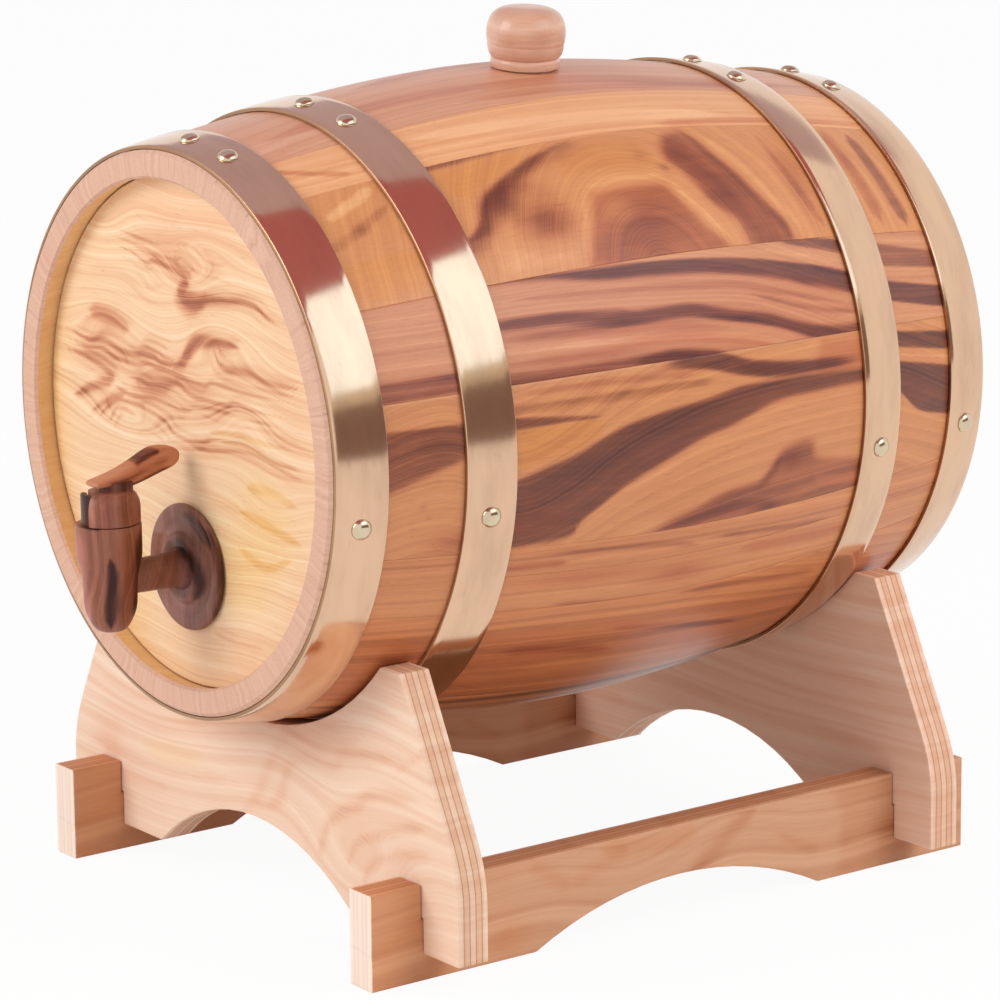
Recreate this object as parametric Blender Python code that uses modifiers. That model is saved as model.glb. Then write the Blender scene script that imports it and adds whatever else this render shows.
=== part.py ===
# Whiskey barrel: a small coopered barrel with a wooden tap, lying in a halved plywood stand.
# Lengths are metres. +Z is up, the tap faces -Y, and the rails of the stand rest on Z = 0.
# The barrel is modelled standing on its rear end, with its own axis along local +Z, as a
# cooper raises it, and its parent empty then lays it down along the stand.

import math

import bmesh
import bpy
from mathutils import Matrix, Vector

# Fits and cuts
FIT_GAP = 0.0003
SEAM_GAP = 0.00026
OVERRUN = 0.004
MERGE_DISTANCE = 0.00001
WEDGE_STEP_DEGREES = 30.0
FULL_TURN_DEGREES = 360.0

# Staves
BARREL_LENGTH = 0.260
BILGE_RADIUS = 0.1044
END_RADIUS = 0.0886
STAVE_THICKNESS = 0.0088
CHIME_BEVEL = 0.0010
BELLY_POWER = 1.6
BELLY_ROUNDING_SHARE = 0.2
STAVE_STATIONS = 10
LINING_STATIONS = 6
TURN_STEPS = 60
SEAM_DEGREES = (104.0, 70.0, 58.0, 31.5, 13.4, -16.5, -22.2, -30.0, -58.0, -80.0, -104.0,
                -130.0, -152.0, -178.0, -206.0, -227.0)

# Heads, held by their thinned edge in the croze groove
CHIME_DEPTH = 0.0070
HEAD_THICKNESS = 0.0100
HEAD_TONGUE = 0.0045
CROZE_DEPTH = 0.0030

# Hoops and their nails
HOOP_WIDTH = 0.0170
HOOP_THICKNESS = 0.0011
HOOP_END_INSET = 0.0010
QUARTER_HOOP_SHARE = 0.599
NAIL_DEGREES = {"lap_left": 89.0, "lap_right": 75.5, "right": -9.3, "left": 189.3}
NAIL_HEAD_RADIUS = 0.0033
NAIL_HEAD_HEIGHT = 0.0018
NAIL_SHANK_RADIUS = 0.0009
NAIL_GRIP = 0.0055
NAIL_POINT = 0.0018
NAIL_STEPS = 8
NAIL_DOME_STATIONS = 3

# Bung
BUNG_OFFSET = 0.0038
BUNG_DEGREES = 85.7
BUNG_PLUG_RADIUS = 0.0096
BUNG_TIP_RADIUS = 0.0086
BUNG_TIP_REACH = 0.0050
BUNG_FOOT_RADIUS = 0.0112
BUNG_GROOVE_HEIGHT = 0.0031
BUNG_GROOVE_DEPTH = 0.0005
BUNG_KNOB_RADIUS = 0.0128
BUNG_KNOB_HEIGHT = 0.0196
BUNG_SHOULDER_SHARE = 0.56
BUNG_CROWN_POWER = 2.8
BUNG_STEPS = 24
CROWN_STATIONS = 6

# Tap body
TAP_DROP = 0.0429
TAP_REACH = 0.0297
FLANGE_RADIUS = 0.0202
FLANGE_THICKNESS = 0.0031
FLANGE_DISH = 0.0007
BOSS_RADIUS = 0.0107
BOSS_HEIGHT = 0.0021
SHANK_RADIUS = 0.00545
TAIL_RADIUS = 0.0064
TAIL_TIP_RADIUS = 0.0055
TAIL_REACH = 0.0100
BODY_RISE = 0.0185
BODY_DROP = 0.0157
BODY_RADIUS = 0.0103
BODY_ROUND = 0.0005
BODY_TAPER_SHARES = ((0.30, 1.0), (0.38, 0.94), (0.47, 0.865), (0.63, 0.83),
                     (0.77, 0.79), (0.86, 0.69), (0.93, 0.58), (0.98, 0.47))
SPOUT_RADIUS = 0.0042
BORE_RADIUS = 0.0023
TAP_STEPS = 24
BORE_STEPS = 10

# Stop lug on the tap body and the relief in the key's collar that runs against it
LUG_INSET = 0.0019
LUG_THICKNESS = 0.0021
LUG_HEIGHT = 0.0096
LUG_DEGREES = -98.0
LUG_SPAN_DEGREES = 58.0
STOP_SLACK_DEGREES = 1.0
TURN_DEGREES = 90.0

# Tap key
PLUG_TOP_RADIUS = 0.0056
PLUG_TIP_RADIUS = 0.0042
PLUG_LENGTH = 0.0232
COLLAR_INSET = 0.0002
COLLAR_HEIGHT = 0.0100
COLLAR_SHOULDER_SHARE = 0.36
COLLAR_CROWN_POWER = 3.0
NECK_RADIUS = 0.0053
NECK_HEIGHT = 0.0026
NECK_OFFSET = 0.0032
LEVER_WIDTH = 0.0072
LEVER_HEEL = 0.0074
LEVER_HEEL_THICKNESS = 0.0020
LEVER_BELLY = 0.0070
LEVER_BROW = 0.0177
LEVER_REACH = 0.0270
LEVER_DEPTH = 0.0074
LEVER_WAIST_SHARE = 0.23
LEVER_ROUND = 0.0010
LEVER_RISE_DEGREES = 15.0
LEVER_ARC_STATIONS = 7

# Stand
PLY_THICKNESS = 0.0113
PLATE_HOOP_GAP = 0.0036
PLATE_HALF_WIDTH = 0.1104
PLATE_LIFT = 0.0088
PLATE_ARCH_HALF_WIDTH = 0.0570
PLATE_ARCH_HEIGHT = 0.0217
PLATE_WEB_HEIGHT = 0.0329
SHOULDER_HEIGHT = 0.0370
SHOULDER_ROUND = 0.0450
HORN_DROP = 0.0646
HORN_FLAT = 0.0102
RAIL_INSET = 0.0186
RAIL_HEIGHT = 0.0308
RAIL_OVERHANG = 0.0192
RAIL_ARCH_HALF_LENGTH = 0.0577
RAIL_ARCH_HEIGHT = 0.0141
HALVING_SHARE = 0.5
ARC_STATIONS = 16
SEAT_STATIONS = 24
SHOULDER_STATIONS = 5

# Shading of round pieces
SHARP_DEGREES = 32.0

# Colours as linear red, green and blue
STAVE_COLOURS = (
    (0.60, 0.34, 0.22), (0.58, 0.30, 0.15), (0.66, 0.36, 0.16), (0.42, 0.18, 0.10),
    (0.56, 0.28, 0.15), (0.50, 0.23, 0.12), (0.62, 0.33, 0.17),
)
HEAD_COLOUR = (0.87, 0.62, 0.38)
BRASS_COLOUR = (0.78, 0.62, 0.42)
NAIL_COLOUR = (0.72, 0.60, 0.46)
BUNG_COLOUR = (0.62, 0.33, 0.21)
TAP_COLOUR = (0.24, 0.10, 0.07)
KEY_COLOUR = (0.31, 0.12, 0.07)
PLY_COLOUR = (0.84, 0.62, 0.47)
RAIL_COLOUR = (0.60, 0.31, 0.19)

# Sheen of each kind of surface, and how metallic the hoops and nails are
STAVE_ROUGHNESS = 0.42
HEAD_ROUGHNESS = 0.45
BRASS_ROUGHNESS = 0.28
NAIL_ROUGHNESS = 0.20
BUNG_ROUGHNESS = 0.38
TAP_ROUGHNESS = 0.35
PLY_ROUGHNESS = 0.55
METAL = 1.0

# Sizes that follow from those above
HALF_LENGTH = BARREL_LENGTH / 2
HEAD_FACE = HALF_LENGTH - CHIME_DEPTH
HEAD_BACK = HEAD_FACE - HEAD_THICKNESS
HEAD_MIDDLE = (HEAD_FACE + HEAD_BACK) / 2
QUARTER_HOOP_PLACE = HALF_LENGTH * QUARTER_HOOP_SHARE
END_HOOP_PLACE = HALF_LENGTH - HOOP_END_INSET - HOOP_WIDTH / 2
PLATE_FACE = QUARTER_HOOP_PLACE + HOOP_WIDTH / 2 + PLATE_HOOP_GAP
PLATE_PLACE = PLATE_FACE + PLY_THICKNESS / 2
TAP_PLACE = HEAD_FACE + TAP_REACH
RAIL_PLACE = PLATE_HALF_WIDTH - RAIL_INSET - PLY_THICKNESS / 2
RAIL_HALF_LENGTH = PLATE_PLACE + PLY_THICKNESS / 2 + RAIL_OVERHANG
HALVING_HEIGHT = PLATE_LIFT + (RAIL_HEIGHT - PLATE_LIFT) * HALVING_SHARE
LUG_OUTER_RADIUS = BODY_RADIUS - LUG_INSET
LUG_INNER_RADIUS = LUG_OUTER_RADIUS - LUG_THICKNESS
COLLAR_RADIUS = BODY_RADIUS - COLLAR_INSET
BARREL_SETBACK = (TAP_PLACE + BODY_RADIUS - HALF_LENGTH) / 2


def stave_radius(height):
    """Outer radius of the barrel at a height along its axis, fullest at the bilge."""
    share = abs(height) / HALF_LENGTH
    rounding = BELLY_ROUNDING_SHARE ** BELLY_POWER
    bend = (share * share + BELLY_ROUNDING_SHARE ** 2) ** (BELLY_POWER / 2) - rounding
    full_bend = (1 + BELLY_ROUNDING_SHARE ** 2) ** (BELLY_POWER / 2) - rounding
    return BILGE_RADIUS - (BILGE_RADIUS - END_RADIUS) * bend / full_bend


def stave_slope(height):
    """Change of the outer radius with height, measured across one hoop's width."""
    half = HOOP_WIDTH / 2
    return (stave_radius(height + half) - stave_radius(height - half)) / HOOP_WIDTH


def inner_radius(height):
    """Radius of the inside of the staves."""
    return stave_radius(height) - STAVE_THICKNESS


SEAT_RADIUS = stave_radius(PLATE_FACE) + FIT_GAP
AXIS_HEIGHT = PLATE_LIFT + PLATE_ARCH_HEIGHT + PLATE_WEB_HEIGHT + SEAT_RADIUS
HORN_HEIGHT = AXIS_HEIGHT - HORN_DROP
CROZE_RADIUS = inner_radius(HEAD_MIDDLE) + CROZE_DEPTH


def spaced(start, end, count):
    """Evenly spaced values from start to end, both included."""
    return [start + (end - start) * index / count for index in range(count + 1)]


def arc(centre_x, centre_y, radius, start, end, count):
    """Points along a circular arc between two angles in radians."""
    return [(centre_x + radius * math.cos(angle), centre_y + radius * math.sin(angle))
            for angle in spaced(start, end, count)]


def crown(radius, foot, height, power):
    """Profile of a rounded crown, top first. Power 2 is an ellipse, and more is squarer."""
    squareness = 2 / power
    return [(radius * math.sin(angle) ** squareness, foot + height * math.cos(angle) ** squareness)
            for angle in spaced(0.0, math.pi / 2, CROWN_STATIONS)]


def clear_scene():
    """Start from an empty scene."""
    for item in list(bpy.data.objects):
        bpy.data.objects.remove(item, do_unlink=True)


def new_collection(name):
    """A collection linked to the scene."""
    collection = bpy.data.collections.new(name)
    bpy.context.scene.collection.children.link(collection)
    return collection


clear_scene()
PARTS = new_collection("whiskey_barrel")
CUTTERS = new_collection("cutters")


def empty(name, parent=None, location=(0.0, 0.0, 0.0), rotation=(0.0, 0.0, 0.0)):
    """An empty that carries pieces or marks an axis."""
    item = bpy.data.objects.new(name, None)
    PARTS.objects.link(item)
    item.parent = parent
    item.location = location
    item.rotation_euler = rotation
    return item


def paint(part, colour, roughness, metallic=0.0):
    """Give a piece its own material."""
    material = bpy.data.materials.new(part.name + "_finish")
    material.use_nodes = True
    shader = material.node_tree.nodes["Principled BSDF"]
    shader.inputs["Base Color"].default_value = (*colour, 1.0)
    shader.inputs["Roughness"].default_value = roughness
    shader.inputs["Metallic"].default_value = metallic
    part.data.materials.clear()
    part.data.materials.append(material)


def place(part, parent, location=(0.0, 0.0, 0.0), rotation=(0.0, 0.0, 0.0)):
    """Parent a piece and set it in its parent's frame."""
    part.parent = parent
    part.location = location
    part.rotation_euler = rotation
    return part


def as_cutter(part):
    """Move a piece to the cutters, where it only shapes others."""
    for collection in list(part.users_collection):
        collection.objects.unlink(part)
    CUTTERS.objects.link(part)
    part.hide_render = True
    part.display_type = "WIRE"
    return part


def shape(part, operand, operation="DIFFERENCE"):
    """Cut, join or trim a piece with another."""
    modifier = part.modifiers.new(operand.name, "BOOLEAN")
    modifier.operation = operation
    modifier.solver = "EXACT"
    modifier.object = operand


def turned(name, profile, steps, closed=False):
    """Revolve (radius, height) points about Z, listed top to bottom down the outer side."""
    mesh = bpy.data.meshes.new(name)
    edges = [(index, index + 1) for index in range(len(profile) - 1)]
    if closed:
        edges.append((len(profile) - 1, 0))
    mesh.from_pydata([(radius, 0.0, height) for radius, height in profile], edges, [])
    part = bpy.data.objects.new(name, mesh)
    PARTS.objects.link(part)
    screw = part.modifiers.new("turn", "SCREW")
    screw.axis = "Z"
    screw.angle = math.tau
    screw.steps = steps
    screw.render_steps = steps
    screw.use_merge_vertices = True
    screw.merge_threshold = MERGE_DISTANCE
    return part


def flat(name, outline, thickness):
    """A sheet piece: a flat outline with half its thickness on each side."""
    curve = bpy.data.curves.new(name, "CURVE")
    curve.dimensions = "2D"
    curve.fill_mode = "BOTH"
    curve.extrude = thickness / 2
    spline = curve.splines.new("POLY")
    spline.points.add(len(outline) - 1)
    for point, (x, y) in zip(spline.points, outline):
        point.co = (x, y, 0.0, 1.0)
    spline.use_cyclic_u = True
    drawn = bpy.data.objects.new(name + "_outline", curve)
    PARTS.objects.link(drawn)
    bpy.context.view_layer.update()
    evaluated = drawn.evaluated_get(bpy.context.evaluated_depsgraph_get())
    mesh = bpy.data.meshes.new_from_object(evaluated)
    mesh.name = name
    weld(mesh)
    bpy.data.objects.remove(drawn, do_unlink=True)
    part = bpy.data.objects.new(name, mesh)
    PARTS.objects.link(part)
    return part


def weld(mesh):
    """Join the loose caps of a mesh made from a curve."""
    work = bmesh.new()
    work.from_mesh(mesh)
    bmesh.ops.remove_doubles(work, verts=work.verts, dist=MERGE_DISTANCE)
    work.to_mesh(mesh)
    work.free()


def settle(part):
    """Turn a piece and its modifiers into one mesh, smooth but for its real edges."""
    bpy.context.view_layer.update()
    evaluated = part.evaluated_get(bpy.context.evaluated_depsgraph_get())
    mesh = bpy.data.meshes.new_from_object(evaluated)
    mesh.name = part.name
    part.modifiers.clear()
    part.data = mesh
    mesh.shade_smooth()
    mesh.set_sharp_from_angle(angle=math.radians(SHARP_DEGREES))


def wedge(name, start_degrees, end_degrees, reach, height, gap):
    """A sector between two angles, its sides drawn back by half the gap."""
    start = math.radians(start_degrees)
    end = math.radians(end_degrees)
    middle = (start + end) / 2
    half = abs(end - start) / 2
    shift = gap / 2 / math.sin(half)
    apex = (shift * math.cos(middle), shift * math.sin(middle))
    span = math.ceil(half / math.radians(WEDGE_STEP_DEGREES))
    far = reach / math.cos(half / span)
    rim = [(apex[0] + far * math.cos(angle), apex[1] + far * math.sin(angle))
           for angle in spaced(middle - half, middle + half, span)]
    return as_cutter(flat(name, [apex] + rim, height))


def barrel_profile():
    """Section of the barrel's wall, with its chimes and croze grooves."""
    top_edge = HALF_LENGTH - CHIME_BEVEL
    croze_half = HEAD_TONGUE / 2 + FIT_GAP
    croze_top = HEAD_MIDDLE + croze_half
    croze_foot = HEAD_MIDDLE - croze_half
    outer = [(stave_radius(height), height)
             for height in spaced(top_edge, -top_edge, STAVE_STATIONS)]
    lining = [(inner_radius(height), height)
              for height in spaced(-croze_foot, croze_foot, LINING_STATIONS)]
    front_chime = [(CROZE_RADIUS, croze_foot), (CROZE_RADIUS, croze_top),
                   (inner_radius(croze_top), croze_top),
                   (inner_radius(top_edge), top_edge),
                   (inner_radius(HALF_LENGTH) + CHIME_BEVEL, HALF_LENGTH),
                   (END_RADIUS - CHIME_BEVEL, HALF_LENGTH)]
    rear_chime = [(radius, -height) for radius, height in reversed(front_chime)]
    return outer + rear_chime + lining + front_chime


def make_staves(axis, nail_holes, bung_hole):
    """One solid for each stave, wedged out of the turned wall along its radial joints."""
    profile = barrel_profile()
    edges = list(SEAM_DEGREES) + [SEAM_DEGREES[0] - FULL_TURN_DEGREES]
    for number, (start, end) in enumerate(zip(edges[:-1], edges[1:]), start=1):
        name = f"stave_{number:02d}"
        stave = place(turned(name, profile, TURN_STEPS, closed=True), axis)
        joint = wedge(name + "_joints", end, start, BILGE_RADIUS + OVERRUN,
                      BARREL_LENGTH + OVERRUN, SEAM_GAP)
        shape(stave, place(joint, axis), "INTERSECT")
        for degrees, hole in nail_holes:
            if (start - degrees) % FULL_TURN_DEGREES < start - end:
                shape(stave, hole)
        if number == 1:
            shape(stave, bung_hole)
        paint(stave, STAVE_COLOURS[number % len(STAVE_COLOURS)], STAVE_ROUGHNESS)


def make_head(name, axis, side):
    """A head whose bevelled edge seats in the croze. Side is 1 at the front, -1 at the rear."""
    tongue_radius = CROZE_RADIUS - FIT_GAP
    face_radius = inner_radius(HEAD_FACE) - FIT_GAP
    back_radius = inner_radius(HEAD_MIDDLE) - FIT_GAP
    profile = [(0.0, HEAD_FACE), (face_radius, HEAD_FACE),
               (face_radius, HEAD_MIDDLE + HEAD_TONGUE / 2),
               (tongue_radius, HEAD_MIDDLE + HEAD_TONGUE / 2),
               (tongue_radius, HEAD_MIDDLE - HEAD_TONGUE / 2),
               (back_radius, HEAD_MIDDLE - HEAD_TONGUE / 2),
               (back_radius - HEAD_TONGUE / 2, HEAD_BACK), (0.0, HEAD_BACK)]
    if side < 0:
        profile = [(radius, -height) for radius, height in reversed(profile)]
    head = place(turned(name, profile, TURN_STEPS), axis)
    paint(head, HEAD_COLOUR, HEAD_ROUGHNESS)
    return head


def make_hoop(name, axis, height):
    """A hoop rolled to the taper of the staves under it."""
    top = height + HOOP_WIDTH / 2
    foot = height - HOOP_WIDTH / 2
    top_radius = stave_radius(top) + FIT_GAP
    foot_radius = stave_radius(foot) + FIT_GAP
    profile = [(top_radius + HOOP_THICKNESS, top), (foot_radius + HOOP_THICKNESS, foot),
               (foot_radius, foot), (top_radius, top)]
    hoop = place(turned(name, profile, TURN_STEPS, closed=True), axis)
    paint(hoop, BRASS_COLOUR, BRASS_ROUGHNESS, METAL)
    return hoop


def nail_frame(degrees, height):
    """Where a nail stands on a hoop: Z runs out square to the hoop's face."""
    angle = math.radians(degrees)
    normal = Vector((math.cos(angle), math.sin(angle), -stave_slope(height))).normalized()
    ends = stave_radius(height + HOOP_WIDTH / 2) + stave_radius(height - HOOP_WIDTH / 2)
    radius = ends / 2 + 2 * FIT_GAP + HOOP_THICKNESS
    spot = Vector((radius * math.cos(angle), radius * math.sin(angle), height))
    return Matrix.Translation(spot) @ normal.to_track_quat("Z", "Y").to_matrix().to_4x4()


def make_nail(name, axis, frame):
    """A domed nail with its shank down through the hoop into the stave."""
    dome = [(NAIL_HEAD_RADIUS * math.sin(angle), NAIL_HEAD_HEIGHT * math.cos(angle))
            for angle in spaced(0.0, math.pi / 2, NAIL_DOME_STATIONS)]
    profile = dome + [(NAIL_SHANK_RADIUS, 0.0), (NAIL_SHANK_RADIUS, NAIL_POINT - NAIL_GRIP),
                      (0.0, -NAIL_GRIP)]
    nail = turned(name, profile, NAIL_STEPS)
    nail.parent = axis
    nail.matrix_basis = frame
    paint(nail, NAIL_COLOUR, NAIL_ROUGHNESS, METAL)


def make_nail_hole(name, axis, frame):
    """The hole that a nail's shank stands in."""
    radius = NAIL_SHANK_RADIUS + FIT_GAP
    profile = [(0.0, OVERRUN), (radius, OVERRUN), (radius, -NAIL_GRIP - FIT_GAP),
               (0.0, -NAIL_GRIP - FIT_GAP)]
    hole = as_cutter(turned(name, profile, NAIL_STEPS))
    hole.parent = axis
    hole.matrix_basis = frame
    return hole


def make_hoops(axis):
    """Four hoops with their nails. Returns each nail hole with its angle."""
    places = {"front_end": END_HOOP_PLACE, "front_quarter": QUARTER_HOOP_PLACE,
              "rear_quarter": -QUARTER_HOOP_PLACE, "rear_end": -END_HOOP_PLACE}
    holes = []
    for label, height in places.items():
        hoop = make_hoop("hoop_" + label, axis, height)
        for side, degrees in NAIL_DEGREES.items():
            name = f"nail_{label}_{side}"
            frame = nail_frame(degrees, height)
            make_nail(name, axis, frame)
            hole = make_nail_hole(name + "_hole", axis, frame)
            shape(hoop, hole)
            holes.append((degrees, hole))
    return holes


def bung_seat():
    """Height of the bung's underside above the barrel's axis."""
    return stave_radius(BUNG_OFFSET) + FIT_GAP


def make_bung(axis):
    """A turned knob, grooved above its foot, on a tapered plug. It is drawn out along its axis."""
    seat = bung_seat()
    shoulder = BUNG_KNOB_HEIGHT * BUNG_SHOULDER_SHARE
    groove = seat + BUNG_GROOVE_HEIGHT
    waist = (shoulder + BUNG_GROOVE_HEIGHT) / 2
    profile = crown(BUNG_KNOB_RADIUS, seat + shoulder, BUNG_KNOB_HEIGHT - shoulder,
                    BUNG_CROWN_POWER) + [
        ((BUNG_KNOB_RADIUS + BUNG_FOOT_RADIUS + BUNG_GROOVE_DEPTH) / 2, seat + waist),
        (BUNG_FOOT_RADIUS + BUNG_GROOVE_DEPTH, groove + BUNG_GROOVE_DEPTH),
        (BUNG_FOOT_RADIUS - BUNG_GROOVE_DEPTH, groove),
        (BUNG_FOOT_RADIUS, groove - BUNG_GROOVE_DEPTH),
        (BUNG_FOOT_RADIUS, seat),
        (BUNG_PLUG_RADIUS, seat),
        (BUNG_TIP_RADIUS, seat - STAVE_THICKNESS - BUNG_TIP_REACH),
        (0.0, seat - STAVE_THICKNESS - BUNG_TIP_REACH),
    ]
    bung = place(turned("bung", profile, BUNG_STEPS), axis)
    paint(bung, BUNG_COLOUR, BUNG_ROUGHNESS)


def make_bung_hole(axis):
    """The tapered hole that the bung's plug fills."""
    seat = bung_seat()
    depth = STAVE_THICKNESS + BUNG_TIP_REACH
    taper = (BUNG_PLUG_RADIUS - BUNG_TIP_RADIUS) / depth
    top = seat + OVERRUN
    foot = seat - depth - OVERRUN
    profile = [(0.0, top), (BUNG_PLUG_RADIUS + FIT_GAP + taper * OVERRUN, top),
               (BUNG_TIP_RADIUS + FIT_GAP - taper * OVERRUN, foot), (0.0, foot)]
    return place(as_cutter(turned("bung_hole", profile, BUNG_STEPS)), axis)


def tap_tail(name, clearance):
    """The tapered tail behind the tap's flange, or with a clearance the hole for it."""
    length = HEAD_THICKNESS + TAIL_REACH
    profile = [(0.0, OVERRUN), (TAIL_RADIUS + clearance, OVERRUN),
               (TAIL_RADIUS + clearance, 0.0), (TAIL_TIP_RADIUS + clearance, -length),
               (0.0, -length)]
    return turned(name, profile, TAP_STEPS)


def body_profile():
    """Outside of the tap body, from its flat top down to the spout."""
    height = BODY_RISE + BODY_DROP
    belly = [(BODY_RADIUS * width, BODY_RISE - height * share)
             for share, width in BODY_TAPER_SHARES]
    return [(0.0, BODY_RISE), (BODY_RADIUS - BODY_ROUND, BODY_RISE),
            (BODY_RADIUS, BODY_RISE - BODY_ROUND)] + belly + [
        (SPOUT_RADIUS, -BODY_DROP), (0.0, -BODY_DROP)]


def flange_profile():
    """Shank, boss and dished flange, with +Z out of the head and Z = 0 on the head's face."""
    face = FLANGE_THICKNESS
    edge = FLANGE_THICKNESS / 3
    boss_foot = BOSS_RADIUS + BOSS_HEIGHT / 2
    dish_edge = FLANGE_RADIUS - FLANGE_THICKNESS / 2
    boss_top = face + BOSS_HEIGHT
    cove = BOSS_RADIUS - BOSS_HEIGHT
    return [(0.0, TAP_REACH), (SHANK_RADIUS, TAP_REACH),
            (SHANK_RADIUS, boss_top - FLANGE_DISH), (cove, boss_top),
            (BOSS_RADIUS, boss_top - BOSS_HEIGHT / 3), (boss_foot, face - FLANGE_DISH),
            (dish_edge, face), (FLANGE_RADIUS, face - edge), (FLANGE_RADIUS, edge / 2),
            (FLANGE_RADIUS - edge / 2, FIT_GAP), (0.0, FIT_GAP)]


def bore(name, length, parent, location, rotation=(0.0, 0.0, 0.0)):
    """A straight bore of the tap, its length running down from its own origin."""
    profile = [(0.0, 0.0), (BORE_RADIUS, 0.0), (BORE_RADIUS, -length), (0.0, -length)]
    return place(as_cutter(turned(name, profile, BORE_STEPS)), parent, location, rotation)


def make_tap_body(axis):
    """Body, stop lug, shank, flange and tail as one turned and joined piece."""
    outward = (math.pi / 2, 0.0, 0.0)
    head_face = (0.0, TAP_REACH, 0.0)
    body = place(turned("tap_body", body_profile(), TAP_STEPS), axis)

    flange = as_cutter(turned("tap_flange", flange_profile(), TAP_STEPS))
    tail = as_cutter(tap_tail("tap_tail", 0.0))
    lug_top = BODY_RISE + LUG_HEIGHT
    lug_foot = BODY_RISE - OVERRUN / 2
    lug_profile = [(LUG_OUTER_RADIUS, lug_top), (LUG_OUTER_RADIUS, lug_foot),
                   (LUG_INNER_RADIUS, lug_foot), (LUG_INNER_RADIUS, lug_top)]
    lug = as_cutter(turned("tap_lug", lug_profile, TAP_STEPS, closed=True))
    sector = wedge("tap_lug_sector", LUG_DEGREES - LUG_SPAN_DEGREES / 2,
                   LUG_DEGREES + LUG_SPAN_DEGREES / 2, BODY_RADIUS + OVERRUN,
                   2 * (lug_top + OVERRUN), 0.0)
    shape(lug, place(sector, axis), "INTERSECT")
    for piece in (flange, tail):
        place(piece, axis, head_face, outward)
        shape(body, piece, "UNION")
    shape(body, place(lug, axis), "UNION")

    seat_top = BODY_RISE + OVERRUN / 2
    seat_foot = BODY_RISE - PLUG_LENGTH
    taper = (PLUG_TOP_RADIUS - PLUG_TIP_RADIUS) / PLUG_LENGTH
    seat_profile = [(0.0, seat_top),
                    (PLUG_TOP_RADIUS + FIT_GAP + taper * OVERRUN / 2, seat_top),
                    (PLUG_TIP_RADIUS + FIT_GAP, seat_foot), (0.0, seat_foot)]
    shape(body, place(as_cutter(turned("key_seat", seat_profile, TAP_STEPS)), axis))
    inlet_length = TAP_REACH + HEAD_THICKNESS + TAIL_REACH + OVERRUN
    shape(body, bore("tap_inlet", inlet_length, axis, (0.0, 0.0, 0.0), outward))
    shape(body, bore("tap_outlet", BODY_DROP + OVERRUN, axis, (0.0, 0.0, 0.0)))
    paint(body, TAP_COLOUR, TAP_ROUGHNESS)


def lever_outline():
    """Side view of the lever: a thin heel that deepens past the neck, then a round tip."""
    tip_radius = LEVER_DEPTH / 2
    round_centre = LEVER_REACH - tip_radius
    tip = arc(round_centre, 0.0, tip_radius, -math.pi / 2, math.pi / 2, LEVER_ARC_STATIONS)
    waist = LEVER_DEPTH * LEVER_WAIST_SHARE
    return [(0.0, waist), (-LEVER_HEEL, waist), (-LEVER_HEEL, waist - LEVER_HEEL_THICKNESS),
            (LEVER_BELLY, -tip_radius)] + tip + [(LEVER_BROW, tip_radius)]


def make_relief(axis, foot, top):
    """The sector that is cut out of the key's collar, where the stop lug runs."""
    half_lug = LUG_SPAN_DEGREES / 2
    end = LUG_DEGREES + half_lug + STOP_SLACK_DEGREES
    start = LUG_DEGREES - half_lug - STOP_SLACK_DEGREES - TURN_DEGREES
    inner = LUG_INNER_RADIUS - FIT_GAP
    outer = BODY_RADIUS + OVERRUN
    profile = [(outer, top), (outer, foot), (inner, foot), (inner, top)]
    relief = as_cutter(turned("stop_relief", profile, TAP_STEPS, closed=True))
    sector = wedge("stop_relief_sector", start, end, outer + OVERRUN, 2 * (top + OVERRUN), 0.0)
    shape(relief, place(sector, axis), "INTERSECT")
    return place(relief, axis)


def make_lever(axis, height):
    """The lever, standing at a height on the key's axis and rising towards its tip."""
    lever = as_cutter(flat("key_lever", lever_outline(), LEVER_WIDTH))
    bevel = lever.modifiers.new("soft_edges", "BEVEL")
    bevel.width = LEVER_ROUND
    bevel.segments = 2
    bevel.angle_limit = math.radians(SHARP_DEGREES)
    rise = math.radians(LEVER_RISE_DEGREES)
    turn = Matrix(((0.0, 0.0, 1.0), (1.0, 0.0, 0.0), (0.0, 1.0, 0.0))).to_4x4()
    lever.parent = axis
    lever.matrix_basis = (Matrix.Translation((0.0, 0.0, height))
                          @ Matrix.Rotation(rise, 4, "X") @ turn)
    return lever


def make_key(axis):
    """Tapered plug with its L-shaped way, broad collar with a stop relief, neck and lever."""
    foot = BODY_RISE + FIT_GAP
    plug_foot = foot - PLUG_LENGTH
    shoulder = COLLAR_HEIGHT * COLLAR_SHOULDER_SHARE
    collar_top = foot + COLLAR_HEIGHT
    neck_top = collar_top + NECK_HEIGHT
    profile = crown(COLLAR_RADIUS, foot + shoulder, COLLAR_HEIGHT - shoulder,
                    COLLAR_CROWN_POWER) + [
        (COLLAR_RADIUS, foot), (PLUG_TOP_RADIUS, foot),
        (PLUG_TIP_RADIUS, plug_foot), (0.0, plug_foot)]
    key = place(turned("tap_key", profile, TAP_STEPS), axis)

    neck_foot = foot + shoulder
    neck_profile = [(0.0, neck_top), (NECK_RADIUS, neck_top), (NECK_RADIUS, neck_foot),
                    (0.0, neck_foot)]
    neck = as_cutter(turned("key_neck", neck_profile, TAP_STEPS))
    shape(key, place(neck, axis, (0.0, NECK_OFFSET, 0.0)), "UNION")
    shape(key, make_relief(axis, foot - OVERRUN / 2, collar_top + OVERRUN / 2))
    shape(key, make_lever(axis, neck_top), "UNION")

    sideways = (0.0, math.pi / 2, 0.0)
    port_length = PLUG_TOP_RADIUS + OVERRUN
    shape(key, bore("key_port", port_length, axis, (port_length, 0.0, 0.0), sideways))
    shape(key, bore("key_way", PLUG_LENGTH, axis, (0.0, 0.0, 0.0)))
    paint(key, KEY_COLOUR, TAP_ROUGHNESS)


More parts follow.
